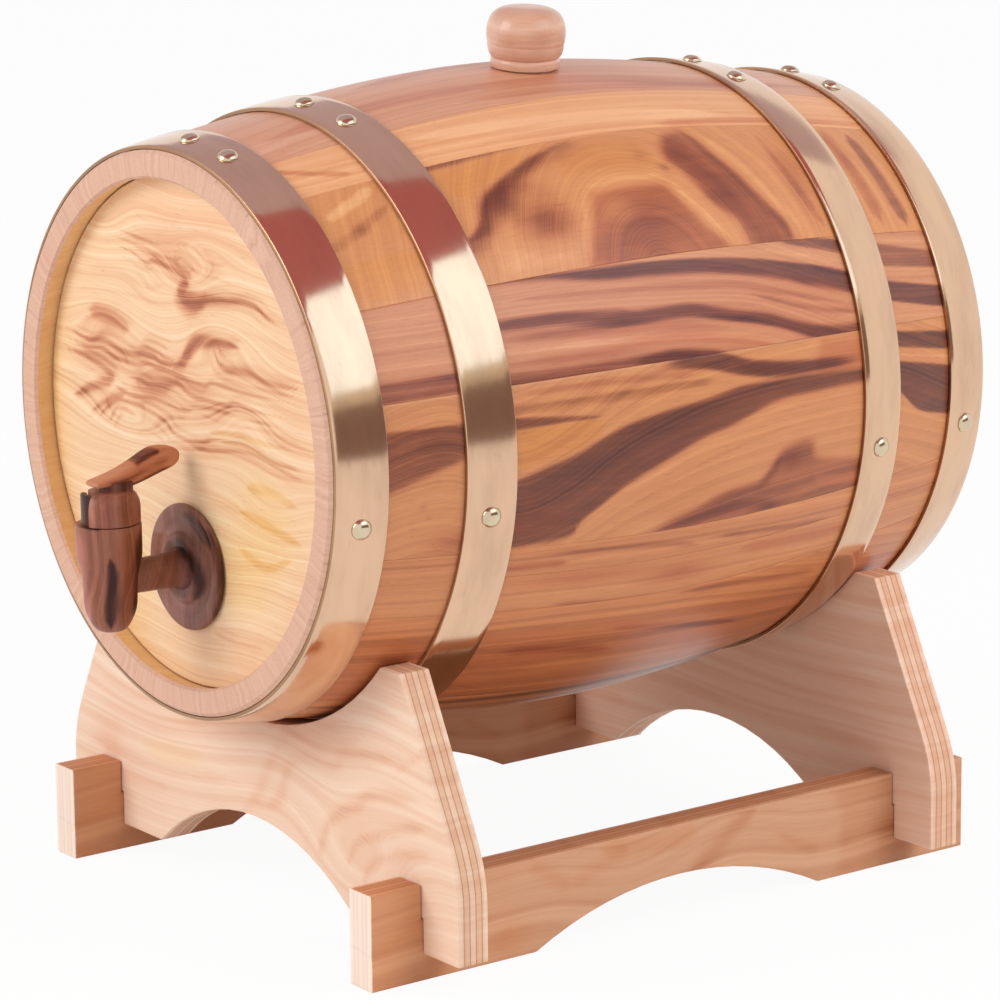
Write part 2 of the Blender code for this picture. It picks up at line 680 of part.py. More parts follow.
def plate_outline():
    """Half-profiles of a cradle plate joined: feet, slots, arch, shoulders, horns and seat."""
    slot_half = PLY_THICKNESS / 2 + FIT_GAP
    slot_top = HALVING_HEIGHT + FIT_GAP
    foot = PLATE_LIFT
    arch_radius = (PLATE_ARCH_HALF_WIDTH ** 2 + PLATE_ARCH_HEIGHT ** 2) / (2 * PLATE_ARCH_HEIGHT)
    arch_angle = math.asin(PLATE_ARCH_HALF_WIDTH / arch_radius)
    upright = math.pi / 2
    arch = arc(0.0, foot + PLATE_ARCH_HEIGHT - arch_radius, arch_radius,
               upright + arch_angle, upright - arch_angle, ARC_STATIONS)
    seat_angle = math.acos(HORN_DROP / SEAT_RADIUS)
    seat = arc(0.0, AXIS_HEIGHT, SEAT_RADIUS, seat_angle - upright, -seat_angle - upright,
               SEAT_STATIONS)
    horn_inner = seat[0][0]
    horn = Vector((horn_inner + HORN_FLAT, HORN_HEIGHT))
    shoulder = Vector((PLATE_HALF_WIDTH, SHOULDER_HEIGHT))
    slant = (horn - shoulder).normalized()
    lean = math.atan2(-slant.x, slant.y)
    run = SHOULDER_ROUND * math.tan(lean / 2)
    bend = arc(PLATE_HALF_WIDTH - SHOULDER_ROUND, SHOULDER_HEIGHT - run, SHOULDER_ROUND,
               0.0, lean, SHOULDER_STATIONS)
    right = [(RAIL_PLACE - slot_half, foot), (RAIL_PLACE - slot_half, slot_top),
             (RAIL_PLACE + slot_half, slot_top), (RAIL_PLACE + slot_half, foot),
             (PLATE_HALF_WIDTH, foot)] + bend + [(horn.x, horn.y)]
    left = [(-x, y) for x, y in reversed(right)]
    return arch + right + seat + left


def rail_outline():
    """Side view of a rail: arched below, notched above where the plates cross it."""
    notch_half = PLY_THICKNESS / 2 + FIT_GAP
    arch_radius = (RAIL_ARCH_HALF_LENGTH ** 2 + RAIL_ARCH_HEIGHT ** 2) / (2 * RAIL_ARCH_HEIGHT)
    arch_angle = math.asin(RAIL_ARCH_HALF_LENGTH / arch_radius)
    upright = math.pi / 2
    arch = arc(0.0, RAIL_ARCH_HEIGHT - arch_radius, arch_radius,
               upright + arch_angle, upright - arch_angle, ARC_STATIONS)
    rear = [(RAIL_HALF_LENGTH, 0.0), (RAIL_HALF_LENGTH, RAIL_HEIGHT),
            (PLATE_PLACE + notch_half, RAIL_HEIGHT), (PLATE_PLACE + notch_half, HALVING_HEIGHT),
            (PLATE_PLACE - notch_half, HALVING_HEIGHT), (PLATE_PLACE - notch_half, RAIL_HEIGHT)]
    front = [(-x, y) for x, y in reversed(rear)]
    return arch + rear + front


def make_stand(base):
    """Two cradle plates slotted down over two rails."""
    upright = (math.pi / 2, 0.0, 0.0)
    lengthways = (math.pi / 2, 0.0, math.pi / 2)
    for name, y in (("plate_front", -PLATE_PLACE), ("plate_rear", PLATE_PLACE)):
        plate = place(flat(name, plate_outline(), PLY_THICKNESS), base, (0.0, y, 0.0), upright)
        paint(plate, PLY_COLOUR, PLY_ROUGHNESS)
    for name, x in (("rail_left", -RAIL_PLACE), ("rail_right", RAIL_PLACE)):
        rail = place(flat(name, rail_outline(), PLY_THICKNESS), base, (x, 0.0, 0.0), lengthways)
        paint(rail, RAIL_COLOUR, PLY_ROUGHNESS)


def main():
    """Raise the barrel, fit it out and set it in its stand."""
    base = empty("stand_base", location=(0.0, BARREL_SETBACK, 0.0))
    barrel = empty("barrel_axis", base, (0.0, 0.0, AXIS_HEIGHT), (math.pi / 2, 0.0, 0.0))
    upright = (-math.pi / 2, 0.0, 0.0)
    leaning = (-math.pi / 2, 0.0, math.radians(BUNG_DEGREES) - math.pi / 2)
    bung_axis = empty("bung_axis", barrel, (0.0, 0.0, -BUNG_OFFSET), leaning)
    tap_axis = empty("tap_axis", barrel, (0.0, -TAP_DROP, TAP_PLACE), upright)

    nail_holes = make_hoops(barrel)
    make_staves(barrel, nail_holes, make_bung_hole(bung_axis))
    front = make_head("front_head", barrel, 1)
    make_head("rear_head", barrel, -1)
    tail_hole = place(as_cutter(tap_tail("tail_hole", FIT_GAP)), barrel,
                      (0.0, -TAP_DROP, HEAD_FACE))
    shape(front, tail_hole)
    make_bung(bung_axis)
    make_tap_body(tap_axis)
    make_key(tap_axis)
    make_stand(base)

    for part in list(PARTS.objects):
        if part.type == "MESH":
            settle(part)


main()
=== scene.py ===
"""Dresses a small coopered barrel, its wooden tap and its slotted plywood stand."""

import logging
import math
from dataclasses import dataclass
from enum import Enum

import bmesh
import bpy
import numpy as np
from mathutils import Matrix, Vector


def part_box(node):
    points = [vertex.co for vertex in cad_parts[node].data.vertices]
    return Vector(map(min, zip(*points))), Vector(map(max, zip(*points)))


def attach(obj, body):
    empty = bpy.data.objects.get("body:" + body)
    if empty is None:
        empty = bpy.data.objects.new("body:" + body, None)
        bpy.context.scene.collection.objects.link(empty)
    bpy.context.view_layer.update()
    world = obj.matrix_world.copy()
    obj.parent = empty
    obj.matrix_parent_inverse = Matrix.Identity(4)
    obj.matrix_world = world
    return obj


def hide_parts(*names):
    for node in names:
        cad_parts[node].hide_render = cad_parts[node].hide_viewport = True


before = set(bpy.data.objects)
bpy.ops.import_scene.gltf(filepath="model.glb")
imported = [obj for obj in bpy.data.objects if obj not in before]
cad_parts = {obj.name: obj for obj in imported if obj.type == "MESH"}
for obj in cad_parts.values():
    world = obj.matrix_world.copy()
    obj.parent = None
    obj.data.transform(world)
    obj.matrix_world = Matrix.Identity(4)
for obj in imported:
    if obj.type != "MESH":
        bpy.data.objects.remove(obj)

LOG = logging.getLogger("whiskey_barrel")
MM = 0.001
FIGURE_RADIUS = 0.100  # where a degree round the staves is turned into a length
VIEW_TURN = 53.5  # degrees from the front of the barrel to the side in view
FAR = 99.0  # more than any distance between a line and a place
END_LIFT = 1.3  # how far a tapering line's end fades
END_WIDTH = 0.2  # share of its width that a tapering line's end keeps
THIN_LINE = 0.8  # half width in millimetres that a tapering line keeps
ROUNDING = 0.3  # place of a rounded edge's middle point, as a share of the edge
SHADES = (0.0, 0.25, 0.5, 0.75, 1.0)  # places of a wood's five colours, deepest first

Point = tuple[float, float]
Line = tuple[float, ...]
Array = np.ndarray
Piece = bpy.types.Object
Socket = bpy.types.NodeSocket
Triple = tuple[float, float, float]
Colour = Triple


class Body(Enum):
    """The moving groups that a piece can ride on."""

    STAND = "stand"
    BARREL = "barrel"
    KEY = "key"
    BUNG = "bung"


class Region(Enum):
    """Parts of a stave that take different finishes, by material slot."""

    OUTSIDE = 0
    CHIME = 1
    INSIDE = 2


def shade(red: float, green: float, blue: float) -> Colour:
    """Turn a colour on the 0 to 255 screen scale into linear light.

    Args:
        red: Screen value of red.
        green: Screen value of green.
        blue: Screen value of blue.

    Returns:
        The linear red, green and blue.
    """
    linear = []
    for value in (red, green, blue):
        part = value / 255.0
        linear.append(part / 12.92 if part <= 0.04045 else ((part + 0.055) / 1.055) ** 2.4)
    return (linear[0], linear[1], linear[2])


def smooth_path(path: Line | tuple[Point, ...], steps: int = 7) -> Array:
    """Round a line of points off into a soft curve through all of them.

    Args:
        path: The points to pass through, as a plain line or in pairs.
        steps: Points on the curve for each stretch.

    Returns:
        The curve's points, one per row.
    """
    rows = np.array(path, float).reshape(-1, 2)
    if len(rows) < 3:
        return rows
    padded = np.vstack([2 * rows[0] - rows[1], rows, 2 * rows[-1] - rows[-2]])
    shares = np.linspace(0.0, 1.0, steps, endpoint=False)[:, None]
    curve = []
    for a, b, c, d in zip(padded[:-3], padded[1:-2], padded[2:-1], padded[3:]):
        curve.append(0.5 * (2 * b + (c - a) * shares
                            + (2 * a - 5 * b + 4 * c - d) * shares ** 2
                            + (3 * b - a - 3 * c + d) * shares ** 3))
    return np.vstack([*curve, rows[-1:]])


def eased(low: float, high: float, value: Array) -> Array:
    """Soft step from 0 at low to 1 at high."""
    share = np.clip((value - low) / (high - low), 0.0, 1.0)
    return share * share * (3.0 - 2.0 * share)


def distances(curve: Array, along: Array, across: Array, widths: Array, lifts: Array) -> Array:
    """Distance from a broken line to each place, as a share of the line's width there.

    Args:
        curve: The line's points.
        along: Place along the grain.
        across: Place across the grain.
        widths: The line's half width at each of its points.
        lifts: Share to add at each of its points, so that the line fades out there.

    Returns:
        The distance of each place.
    """
    nearest = np.full(len(along), FAR)
    for start, end, wide, narrow, lift, after in zip(curve[:-1], curve[1:], widths[:-1],
                                                     widths[1:], lifts[:-1], lifts[1:]):
        step = end - start
        length = max(float(step @ step), 1e-9)
        share = np.clip(((along - start[0]) * step[0] + (across - start[1]) * step[1])
                        / length, 0.0, 1.0)
        gap = np.hypot(along - start[0] - share * step[0], across - start[1] - share * step[1])
        nearest = np.minimum(nearest, gap / (wide + share * (narrow - wide))
                             + lift + share * (after - lift))
    return nearest


@dataclass(frozen=True)
class Stroke:
    """A line of darker or paler colour that follows a path on its board: the wood's figure, and
    on the bung and the tap also painted shade.

    The path lists places along and across the board by turns. The half widths are
    millimetres, spread evenly along it. Over the tapering share at both ends the line fades
    out, and narrows as far as a thin line. A blush above zero turns the wood rosy, and below
    zero golden.
    """

    path: Line
    widths: tuple[float, ...]
    depth: float
    blush: float = 0.0
    soft: float = 0.55
    taper: float = 0.16

    def weight(self, along: Array, across: Array, unit: float) -> Array:
        """How much of the line lies at each place.

        Args:
            along: Place along the grain in millimetres.
            across: Place across the grain in millimetres.
            unit: Millimetres for one unit across in the path.

        Returns:
            A weight from 0 to 1 for each place.
        """
        curve = smooth_path(self.path) * np.array([1.0, unit])
        places = np.linspace(0.0, 1.0, len(curve))
        widths = np.interp(places, np.linspace(0.0, 1.0, len(self.widths)), self.widths)
        ends = np.clip(np.minimum(places, 1.0 - places) / self.taper, 0.0, 1.0)
        widths = np.maximum(widths * np.maximum(np.sqrt(ends), END_WIDTH),
                            np.minimum(widths, THIN_LINE))
        margin = max(self.widths) * (1.0 + self.soft)
        low, high = curve.min(0) - margin, curve.max(0) + margin
        close = (along > low[0]) & (along < high[0]) & (across > low[1]) & (across < high[1])
        nearest = np.full(len(along), FAR)
        nearest[close] = distances(curve, along[close], across[close], widths,
                                   END_LIFT * (1.0 - ends) ** 2)
        return 1.0 - eased(1.0 - self.soft, 1.0 + self.soft, nearest)


@dataclass(frozen=True)
class SoftLine(Stroke):
    """A line with soft edges."""

    soft: float = 0.9


@dataclass(frozen=True)
class HazyLine(Stroke):
    """A line that is hazy as far as its middle."""

    soft: float = 1.0


@dataclass(frozen=True)
class Band:
    """A band of darker or paler colour between an upper and a lower line along the board. The
    one that covers the rear plate is painted light.

    The fades over the upper line, the lower line and the two ends are in millimetres.
    """

    top: Line
    foot: Line
    depth: float
    blush: float = 0.0
    fades: Triple = (0.8, 0.8, 4.0)

    def weight(self, along: Array, across: Array, unit: float) -> Array:
        """How much of the band lies at each place.

        Args:
            along: Place along the grain in millimetres.
            across: Place across it in millimetres.
            unit: Millimetres for one unit across in the lines.

        Returns:
            A weight from 0 to 1 for each place.
        """
        top, foot = smooth_path(self.top), smooth_path(self.foot)
        above, below, ends = self.fades
        high = np.interp(along, top[:, 0], top[:, 1]) * unit - across
        low = across - np.interp(along, foot[:, 0], foot[:, 1]) * unit
        start = max(top[0, 0], foot[0, 0])
        end = min(top[-1, 0], foot[-1, 0])
        return (eased(-above, above, high) * eased(-below, below, low)
                * eased(start - ends, start + ends, along)
                * (1.0 - eased(end - ends, end + ends, along)))


@dataclass(frozen=True)
class Patch:
    """An area of darker or paler colour, its edge fading over some millimetres. The one over
    the tap's stop lug is painted shade.
    """

    outline: Line
    depth: float
    blush: float = 0.0
    fade: float = 2.0

    def weight(self, along: Array, across: Array, unit: float) -> Array:
        """How much of the area lies at each place.

        Args:
            along: Place along the grain in millimetres.
            across: Place across it in millimetres.
            unit: Millimetres for one unit across in the outline.

        Returns:
            A weight from 0 to 1 for each place.
        """
        curve = smooth_path((*self.outline, *self.outline[:2])) * np.array([1.0, unit])
        inside = np.zeros(len(along), bool)
        for start, end in zip(curve[:-1], curve[1:]):
            rise = end[1] - start[1] if abs(end[1] - start[1]) > 1e-9 else 1e-9
            crossing = start[0] + (across - start[1]) / rise * (end[0] - start[0])
            inside ^= ((start[1] > across) != (end[1] > across)) & (along < crossing)
        edge = distances(curve, along, across, np.ones(len(curve)), np.zeros(len(curve)))
        return eased(-self.fade, self.fade, np.where(inside, edge, -edge))


@dataclass(frozen=True)
class Spot:
    """A round or oval spot of darker or paler colour: a knot or blotch in the wood, and on the
    bung, the key's collar and the flange also painted light and shade.
    """

    place: Point
    reach: Point
    depth: float
    blush: float = 0.0

    def weight(self, along: Array, across: Array, unit: float) -> Array:
        """How much of the spot, from 0 to 1, lies at each place in millimetres."""
        return np.exp(-((along - self.place[0]) / self.reach[0]) ** 2
                      - ((across - self.place[1] * unit) / self.reach[1]) ** 2)


@dataclass(frozen=True)
class Swell(Spot):
    """A place where the growth rings bulge by the depth, and close into loops around it."""


@dataclass(frozen=True)
class Sweep:
    """Growth rings that run beside one long line of the board."""

    line: tuple[Point, ...]

    def field(self, along: Array, across: Array, unit: float) -> Array:
        """Ring place in millimetres, counted across from the line."""
        curve = smooth_path(self.line)
        return across - np.interp(along, curve[:, 0], curve[:, 1]) * unit


@dataclass(frozen=True)
class Arches:
    """Growth rings nested in arches round one place, as on a flat-sawn board."""

    place: Point
    reach: Point

    def field(self, along: Array, across: Array, unit: float) -> Array:
        """Ring place in millimetres, counted out from the arches' centre."""
        out = (along - self.place[0]) / self.reach[0] * self.reach[1]
        return np.hypot(out, across - self.place[1] * unit)


@dataclass(frozen=True)
class Board:
    """The figure of one board: its rings, its dark and pale bands and its spots. On the rear
    plate, the bung and the tap some of these are painted light and shade.
    """

    rings: Sweep | Arches
    marks: tuple[Stroke | Band | Patch | Spot, ...] = ()
    swells: tuple[Swell, ...] = ()
    unit: float = 1.0

    def paint(self, mesh: bpy.types.Mesh, grain: Array) -> None:
        """Store the board's figure on a mesh, point by point.

        Args:
            mesh: The mesh that carries it.
            grain: For each point its place along, across and into the board, in metres.
        """
        along = grain[:, 0] / MM
        across = grain[:, 1] / MM
        figure = self.rings.field(along, across, self.unit)
        for swell in self.swells:
            figure = figure + swell.depth * swell.weight(along, across, self.unit)
        tone = np.zeros(len(along))
        blush = np.zeros(len(along))
        for mark in self.marks:
            weight = mark.weight(along, across, self.unit)
            tone = tone + mark.depth * weight * (1.0 - np.clip(tone * np.sign(mark.depth), 0, 1))
            blush = np.clip(blush + mark.blush * weight, -1.0, 1.0)
        store(mesh, "grain", grain)
        store(mesh, "figure", figure)
        store(mesh, "tone", tone)
        store(mesh, "blush", blush)


def store(mesh: bpy.types.Mesh, name: str, values: Array) -> None:
    """Keep a number or a vector for each point of a mesh.

    Args:
        mesh: The mesh.
        name: The name that the finishes read it by.
        values: One number or one row of three per point.
    """
    kind = "FLOAT_VECTOR" if values.ndim == 2 else "FLOAT"
    layer = mesh.attributes.get(name) or mesh.attributes.new(name, kind, "POINT")
    slot = "vector" if values.ndim == 2 else "value"
    layer.data.foreach_set(slot, np.ascontiguousarray(values, np.float32).ravel())


def points_of(mesh: bpy.types.Mesh) -> Array:
    """Read the points of a mesh.

    Args:
        mesh: The mesh.

    Returns:
        Its points, one per row, in metres.
    """
    flat = np.zeros(len(mesh.vertices) * 3, np.float32)
    mesh.vertices.foreach_get("co", flat)
    return flat.reshape(-1, 3).astype(float)


class Bench:
    """Lays out and joins the shader nodes of one material."""

    def __init__(self, name: str) -> None:
        """Start an empty material with its Principled shader.

        Args:
            name: The material's name.
        """
        self.material = bpy.data.materials.new(name)
        self.material.use_nodes = True
        self.tree = self.material.node_tree
        self.shader = self.tree.nodes["Principled BSDF"]

    def add(self, kind: str, **settings: object) -> bpy.types.Node:
        """Add a node.

        Args:
            kind: The node's type.
            **settings: Its settings by name.

        Returns:
            The node.
        """
        node = self.tree.nodes.new(kind)
        for key, value in settings.items():
            setattr(node, key, value)
        return node

    def feed(self, socket: Socket, value: object) -> None:
        """Join a socket to another one, or give it a plain value.

        Args:
            socket: The socket to fill.
            value: Another node's output, a number or a colour.
        """
        if isinstance(value, Socket):
            self.tree.links.new(value, socket)
        elif isinstance(value, tuple) and len(value) == 3 and len(socket.default_value) == 4:
            socket.default_value = (*value, 1.0)
        else:
            socket.default_value = value

    def read(self, name: str, output: str = "Fac") -> Socket:
        """A value that the mesh keeps for each point."""
        return self.add("ShaderNodeAttribute", attribute_name=name).outputs[output]

    def sum(self, operation: str, *values: object, clamp: bool = False) -> Socket:
        """A sum on numbers.

        Args:
            operation: The Math node's operation.
            *values: Its inputs.
            clamp: Keep the result between 0 and 1.

        Returns:
            The result's socket.
        """
        node = self.add("ShaderNodeMath", operation=operation, use_clamp=clamp)
        for socket, value in zip(node.inputs, values):
            self.feed(socket, value)
        return node.outputs[0]

    def swing(self, noise: object, depth: float, base: object, clamp: bool = False) -> Socket:
        """A value that a noise moves up and down by half the depth."""
        lean = self.sum("SUBTRACT", noise, 0.5)
        return self.sum("MULTIPLY_ADD", lean, depth, base, clamp=clamp)

    def stretch(self, vector: object, scale: Triple, shift: Triple = (0.0, 0.0, 0.0)) -> Socket:
        """Scale a place by its own amount in each direction, then move it.

        Args:
            vector: The place.
            scale: The three amounts.
            shift: How far it moves.

        Returns:
            The new place's socket.
        """
        node = self.add("ShaderNodeVectorMath", operation="MULTIPLY_ADD")
        self.feed(node.inputs[0], vector)
        self.feed(node.inputs[1], scale)
        self.feed(node.inputs[2], shift)
        return node.outputs[0]

    def noise(self, place: object, detail: float = 3.0, rough: float = 0.55,
              line: bool = False) -> Socket:
        """Cloudy noise from 0 to 1.

        Args:
            place: Where it is read, with one lump per unit.
            detail: How many finer layers it has.
            rough: How strong those are.
            line: Read it along one number and not through space.

        Returns:
            The noise's socket.
        """
        node = self.add("ShaderNodeTexNoise", noise_dimensions="1D" if line else "3D")
        self.feed(node.inputs["W" if line else "Vector"], place)
        node.inputs["Scale"].default_value = 1.0
        node.inputs["Detail"].default_value = detail
        node.inputs["Roughness"].default_value = rough
        return node.outputs[0]

    def between(self, value: object, low: float, high: float, start: float = 0.0,
                end: float = 1.0) -> Socket:
        """Lay a value's stretch from low to high softly on start to end.

        Args:
            value: The value.
            low: Where the stretch begins.
            high: Where it ends.
            start: The result at its beginning.
            end: The result at its end.

        Returns:
            The result's socket.
        """
        node = self.add("ShaderNodeMapRange", interpolation_type="SMOOTHSTEP")
        for socket, number in zip(node.inputs, (value, low, high, start, end)):
            self.feed(socket, number)
        return node.outputs[0]

    def ramp(self, value: object, colours: tuple[Colour, ...]) -> Socket:
        """Pick a colour along a row of five.

        Args:
            value: Place in the row, from 0 to 1.
            colours: The five, from the deepest to the palest.

        Returns:
            The colour's socket.
        """
        node = self.add("ShaderNodeValToRGB")
        self.feed(node.inputs[0], value)
        row = node.color_ramp.elements
        while len(row) < len(SHADES):
            row.new(0.5)
        for item, place, colour in zip(row, SHADES, colours):
            item.position = place
            item.color = (*colour, 1.0)
        return node.outputs[0]

    def blend(self, kind: str, share: object, first: object, second: object) -> Socket:
        """Lay a colour over another.

        Args:
            kind: The Mix node's way of blending.
            share: How strong the second colour is.
            first: The colour beneath.
            second: The colour on top.

        Returns:
            The result's socket.
        """
        node = self.add("ShaderNodeMix", data_type="RGBA", blend_type=kind)
        self.feed(node.inputs["Factor"], share)
        self.feed(node.inputs[6], first)
        self.feed(node.inputs[7], second)
        return node.outputs[2]

    def bump(self, height: object, strength: float, depth: float) -> None:
        """Raise fine relief on the surface.

        Args:
            height: The relief's value.
            strength: How strongly it shows.
            depth: How high it stands, in metres.
        """
        node = self.add("ShaderNodeBump")
        node.inputs["Strength"].default_value = strength
        node.inputs["Distance"].default_value = depth
        self.feed(node.inputs["Height"], height)
        self.feed(self.shader.inputs["Normal"], node.outputs[0])


@dataclass(frozen=True)
class Wood:
    """An oiled wood with growth rings, fibres and pores.

    Its five colours run from the deepest to the palest, and ring and fibre values are
    shares of that run.
    """

    name: str
    colours: tuple[Colour, ...]
    level: float = 0.58
    ring_pitch: float = 5.0
    ring_depth: float = 0.55
    line_depth: float = 0.22
    wander: float = 3.0
    fibre_depth: float = 0.16
    tone_depth: float = 0.55
    pore_depth: float = 0.25
    streaks: float = 1.6
    rosiness: float = 0.22
    blush: Colour = (0.80, 0.55, 0.52)
    gold: Colour = (1.0, 0.92, 0.62)
    roughness: float = 0.42
    specular: float = 0.3
    coat: float = 0.25
    coat_roughness: float = 0.22
    seed: float = 0.0

    def colour_of(self, bench: Bench) -> tuple[Socket, Socket]:
        """Lay out the nodes for the wood's colour.

        Args:
            bench: The material's bench.

        Returns:
            The colour's socket and the fibres' socket.
        """
        grain = bench.read("grain", "Vector")
        shift = (self.seed, self.seed * 1.7, self.seed * 0.6)
        slow = bench.noise(bench.stretch(grain, (9.0, 55.0, 55.0), shift), 2.0, 0.5)
        drift = bench.sum("MULTIPLY_ADD", slow, 2.0 * self.wander, bench.read("figure"))
        rings, lines, hairs = (
            bench.noise(bench.sum("MULTIPLY_ADD", drift, count / self.ring_pitch,
                                  self.seed * start), detail, rough, line=True)
            for count, start, detail, rough in (
                (1.0, 3.1, 2.0, 0.55), (4.3, 1.3, 3.0, 0.6), (15.0, 0.7, 3.0, 0.65)))
        fibres = bench.noise(bench.stretch(grain, (45.0, 1100.0, 1100.0), shift), 3.0, 0.6)
        mottle = bench.noise(bench.stretch(grain, (28.0, 170.0, 170.0), shift), 3.0, 0.6)
        tone = bench.swing(mottle, 0.34, bench.read("tone"))
        edge = bench.sum("MULTIPLY", tone, bench.sum("SUBTRACT", 1.0, tone), clamp=True)
        strands = bench.sum("SUBTRACT", hairs, 0.5)
        tone = bench.sum("MULTIPLY_ADD", bench.sum("MULTIPLY", strands, self.streaks), edge,
                         tone)
        dark = bench.between(tone, 0.04, 1.0)
        dark = bench.sum("MULTIPLY", dark, bench.sum("MULTIPLY_ADD", hairs, 0.5, 0.8))
        light = bench.between(tone, -0.06, -1.0)
        value = bench.swing(rings, self.ring_depth, self.level)
        value = bench.swing(lines, self.line_depth, value)
        value = bench.swing(fibres, self.fibre_depth, value)
        value = bench.sum("MULTIPLY_ADD", dark, -self.tone_depth, value)
        value = bench.sum("MULTIPLY_ADD", light, self.tone_depth, value, clamp=True)
        colour = bench.ramp(value, self.colours)
        hue = bench.noise(bench.stretch(grain, (14.0, 40.0, 40.0), (shift[1], 0.0, shift[0])))
        blush = bench.read("blush")
        rose = bench.sum("ADD", blush, bench.between(hue, 0.5, 0.8, 0.0, self.rosiness),
                         clamp=True)
        colour = bench.blend("MULTIPLY", rose, colour, self.blush)
        golden = bench.sum("MULTIPLY", blush, -1.0, clamp=True)
        colour = bench.blend("MULTIPLY", golden, colour, self.gold)
        pores = bench.noise(bench.stretch(grain, (160.0, 2400.0, 2400.0), shift), 1.0, 0.5)
        holes = bench.between(pores, 0.66, 0.76, 0.0, self.pore_depth)
        return bench.blend("MULTIPLY", holes, colour, (0.42, 0.25, 0.18)), fibres

    def material(self) -> bpy.types.Material:
        """Make the wood's material.

        Returns:
            The material.
        """
        bench = Bench(self.name)
        colour, fibres = self.colour_of(bench)
        bench.feed(bench.shader.inputs["Base Color"], colour)
        bench.feed(bench.shader.inputs["Roughness"],
                   bench.swing(fibres, 0.25, self.roughness, clamp=True))
        bench.shader.inputs["Specular IOR Level"].default_value = self.specular
        bench.shader.inputs["Coat Weight"].default_value = self.coat
        bench.shader.inputs["Coat Roughness"].default_value = self.coat_roughness
        bench.bump(fibres, 0.35, 0.00012)
        return bench.material


@dataclass(frozen=True)
class Plywood(Wood):
    """A wood in thin crossed layers, whose glue lines show on the cut edges."""

    thickness: float = 0.0113
    plies: int = 5
    glue: Colour = (0.35, 0.16, 0.09)

    def colour_of(self, bench: Bench) -> tuple[Socket, Socket]:
        """Lay the plies over the face wood's colour.

        Args:
            bench: The material's bench.

        Returns:
            The colour's socket and the fibres' socket.
        """
        colour, fibres = super().colour_of(bench)
        split = bench.add("ShaderNodeSeparateXYZ")
        bench.feed(split.inputs[0], bench.read("grain", "Vector"))
        depth = bench.sum("MULTIPLY_ADD", split.outputs[2], self.plies / self.thickness,
                          self.plies / 2.0)
        wobble = bench.noise(bench.stretch(bench.read("grain", "Vector"),
                                           (90.0, 90.0, 20.0)), 2.0)
        depth = bench.swing(wobble, 0.12, depth)
        near = bench.sum("ABSOLUTE", bench.sum("SUBTRACT", depth, bench.sum("ROUND", depth)))
        line = bench.between(near, 0.13, 0.03)
        core = bench.sum("ABSOLUTE", bench.sum("SUBTRACT", depth, self.plies / 2.0))
        inner = bench.between(core, self.plies / 2.0 - 0.45, self.plies / 2.0 - 0.7)
        odd = bench.between(bench.sum("PINGPONG", bench.sum("SUBTRACT", depth, 0.5), 1.0),
                            0.45, 0.55)
        bare = bench.between(bench.read("tone"), -0.6, -1.0, 1.0, 0.25)
        shade_share = bench.sum("MULTIPLY", bench.sum("MULTIPLY_ADD", odd, 0.5, 0.4), bare)
        cross = bench.blend("MULTIPLY", shade_share, colour, (0.86, 0.72, 0.62))
        line_share = bench.sum("MULTIPLY", bench.sum("MULTIPLY", line, 0.55), bare)
        lined = bench.blend("MULTIPLY", line_share, cross, self.glue)
        return bench.blend("MIX", inner, colour, lined), fibres


@dataclass(frozen=True)
class Brass:
    """Rolled brass with fine lines along the strip and faint tarnish."""

    name: str
    bright: Colour
    dull: Colour
    roughness: float
    lines: float

    def material(self) -> bpy.types.Material:
        """Make the brass's material.

        Returns:
            The material.
        """
        bench = Bench(self.name)
        grain = bench.read("grain", "Vector")
        lines = bench.noise(bench.stretch(grain, (14.0, 2600.0, 2600.0)), 3.0, 0.6)
        cloud = bench.noise(bench.stretch(grain, (35.0, 90.0, 90.0)), 4.0, 0.6)
        spots = bench.noise(bench.stretch(grain, (420.0, 420.0, 420.0)), 2.0, 0.5)
        tarnish = bench.sum("MULTIPLY_ADD", bench.between(spots, 0.62, 0.8), 0.35,
                            bench.between(cloud, 0.35, 0.75, 0.0, 0.8), clamp=True)
        colour = bench.blend("MIX", tarnish, self.bright, self.dull)
        bench.feed(bench.shader.inputs["Base Color"], colour)
        bench.shader.inputs["Metallic"].default_value = 1.0
        rough = bench.sum("MULTIPLY_ADD", bench.sum("SUBTRACT", lines, 0.5), 0.08,
                          self.roughness)
        rough = bench.sum("MULTIPLY_ADD", tarnish, 0.05, rough, clamp=True)
        bench.feed(bench.shader.inputs["Roughness"], rough)
        bench.bump(lines, self.lines, 0.00004)
        return bench.material


def shades(*colours: tuple[int, int, int]) -> tuple[Colour, ...]:
    """Screen colours in linear light."""
    return tuple(shade(*colour) for colour in colours)


OUTER_STAVE = Wood(
    "oak_stave",
    shades((92, 50, 43), (144, 87, 60), (188, 121, 80), (214, 148, 98), (232, 178, 132)))
HEAD_WOOD = Wood(
    "pale_head",
    shades((158, 92, 62), (206, 144, 106), (230, 182, 142), (241, 204, 164), (248, 222, 190)),
    level=0.72, ring_pitch=4.4, ring_depth=0.6, line_depth=0.5, wander=2.4, fibre_depth=0.12,
    tone_depth=0.62, streaks=0.5, rosiness=0.6, blush=(0.96, 0.84, 0.82), gold=(1.0, 0.93, 0.60),
    roughness=0.5, coat=0.06, seed=4.0)
CHIME_WOOD = Wood(
    "cut_chime",
    shades((168, 112, 90), (198, 148, 124), (219, 175, 152), (230, 192, 170), (240, 210, 192)),
    level=0.49, ring_pitch=2.2, ring_depth=0.35, fibre_depth=0.3, tone_depth=0.24, roughness=0.6,
    coat=0.0, seed=2.0)
# Inner wall of the chime: its own yellow, made pale enough to read as lit in the chime's shade,
# so partly painted light.
INSIDE_WOOD = Wood(
    "chime_wall",
    shades((190, 128, 82), (216, 160, 106), (234, 186, 130), (244, 204, 150), (250, 218, 172)),
    level=0.62, ring_depth=0.3, roughness=0.6, coat=0.0, seed=6.0)
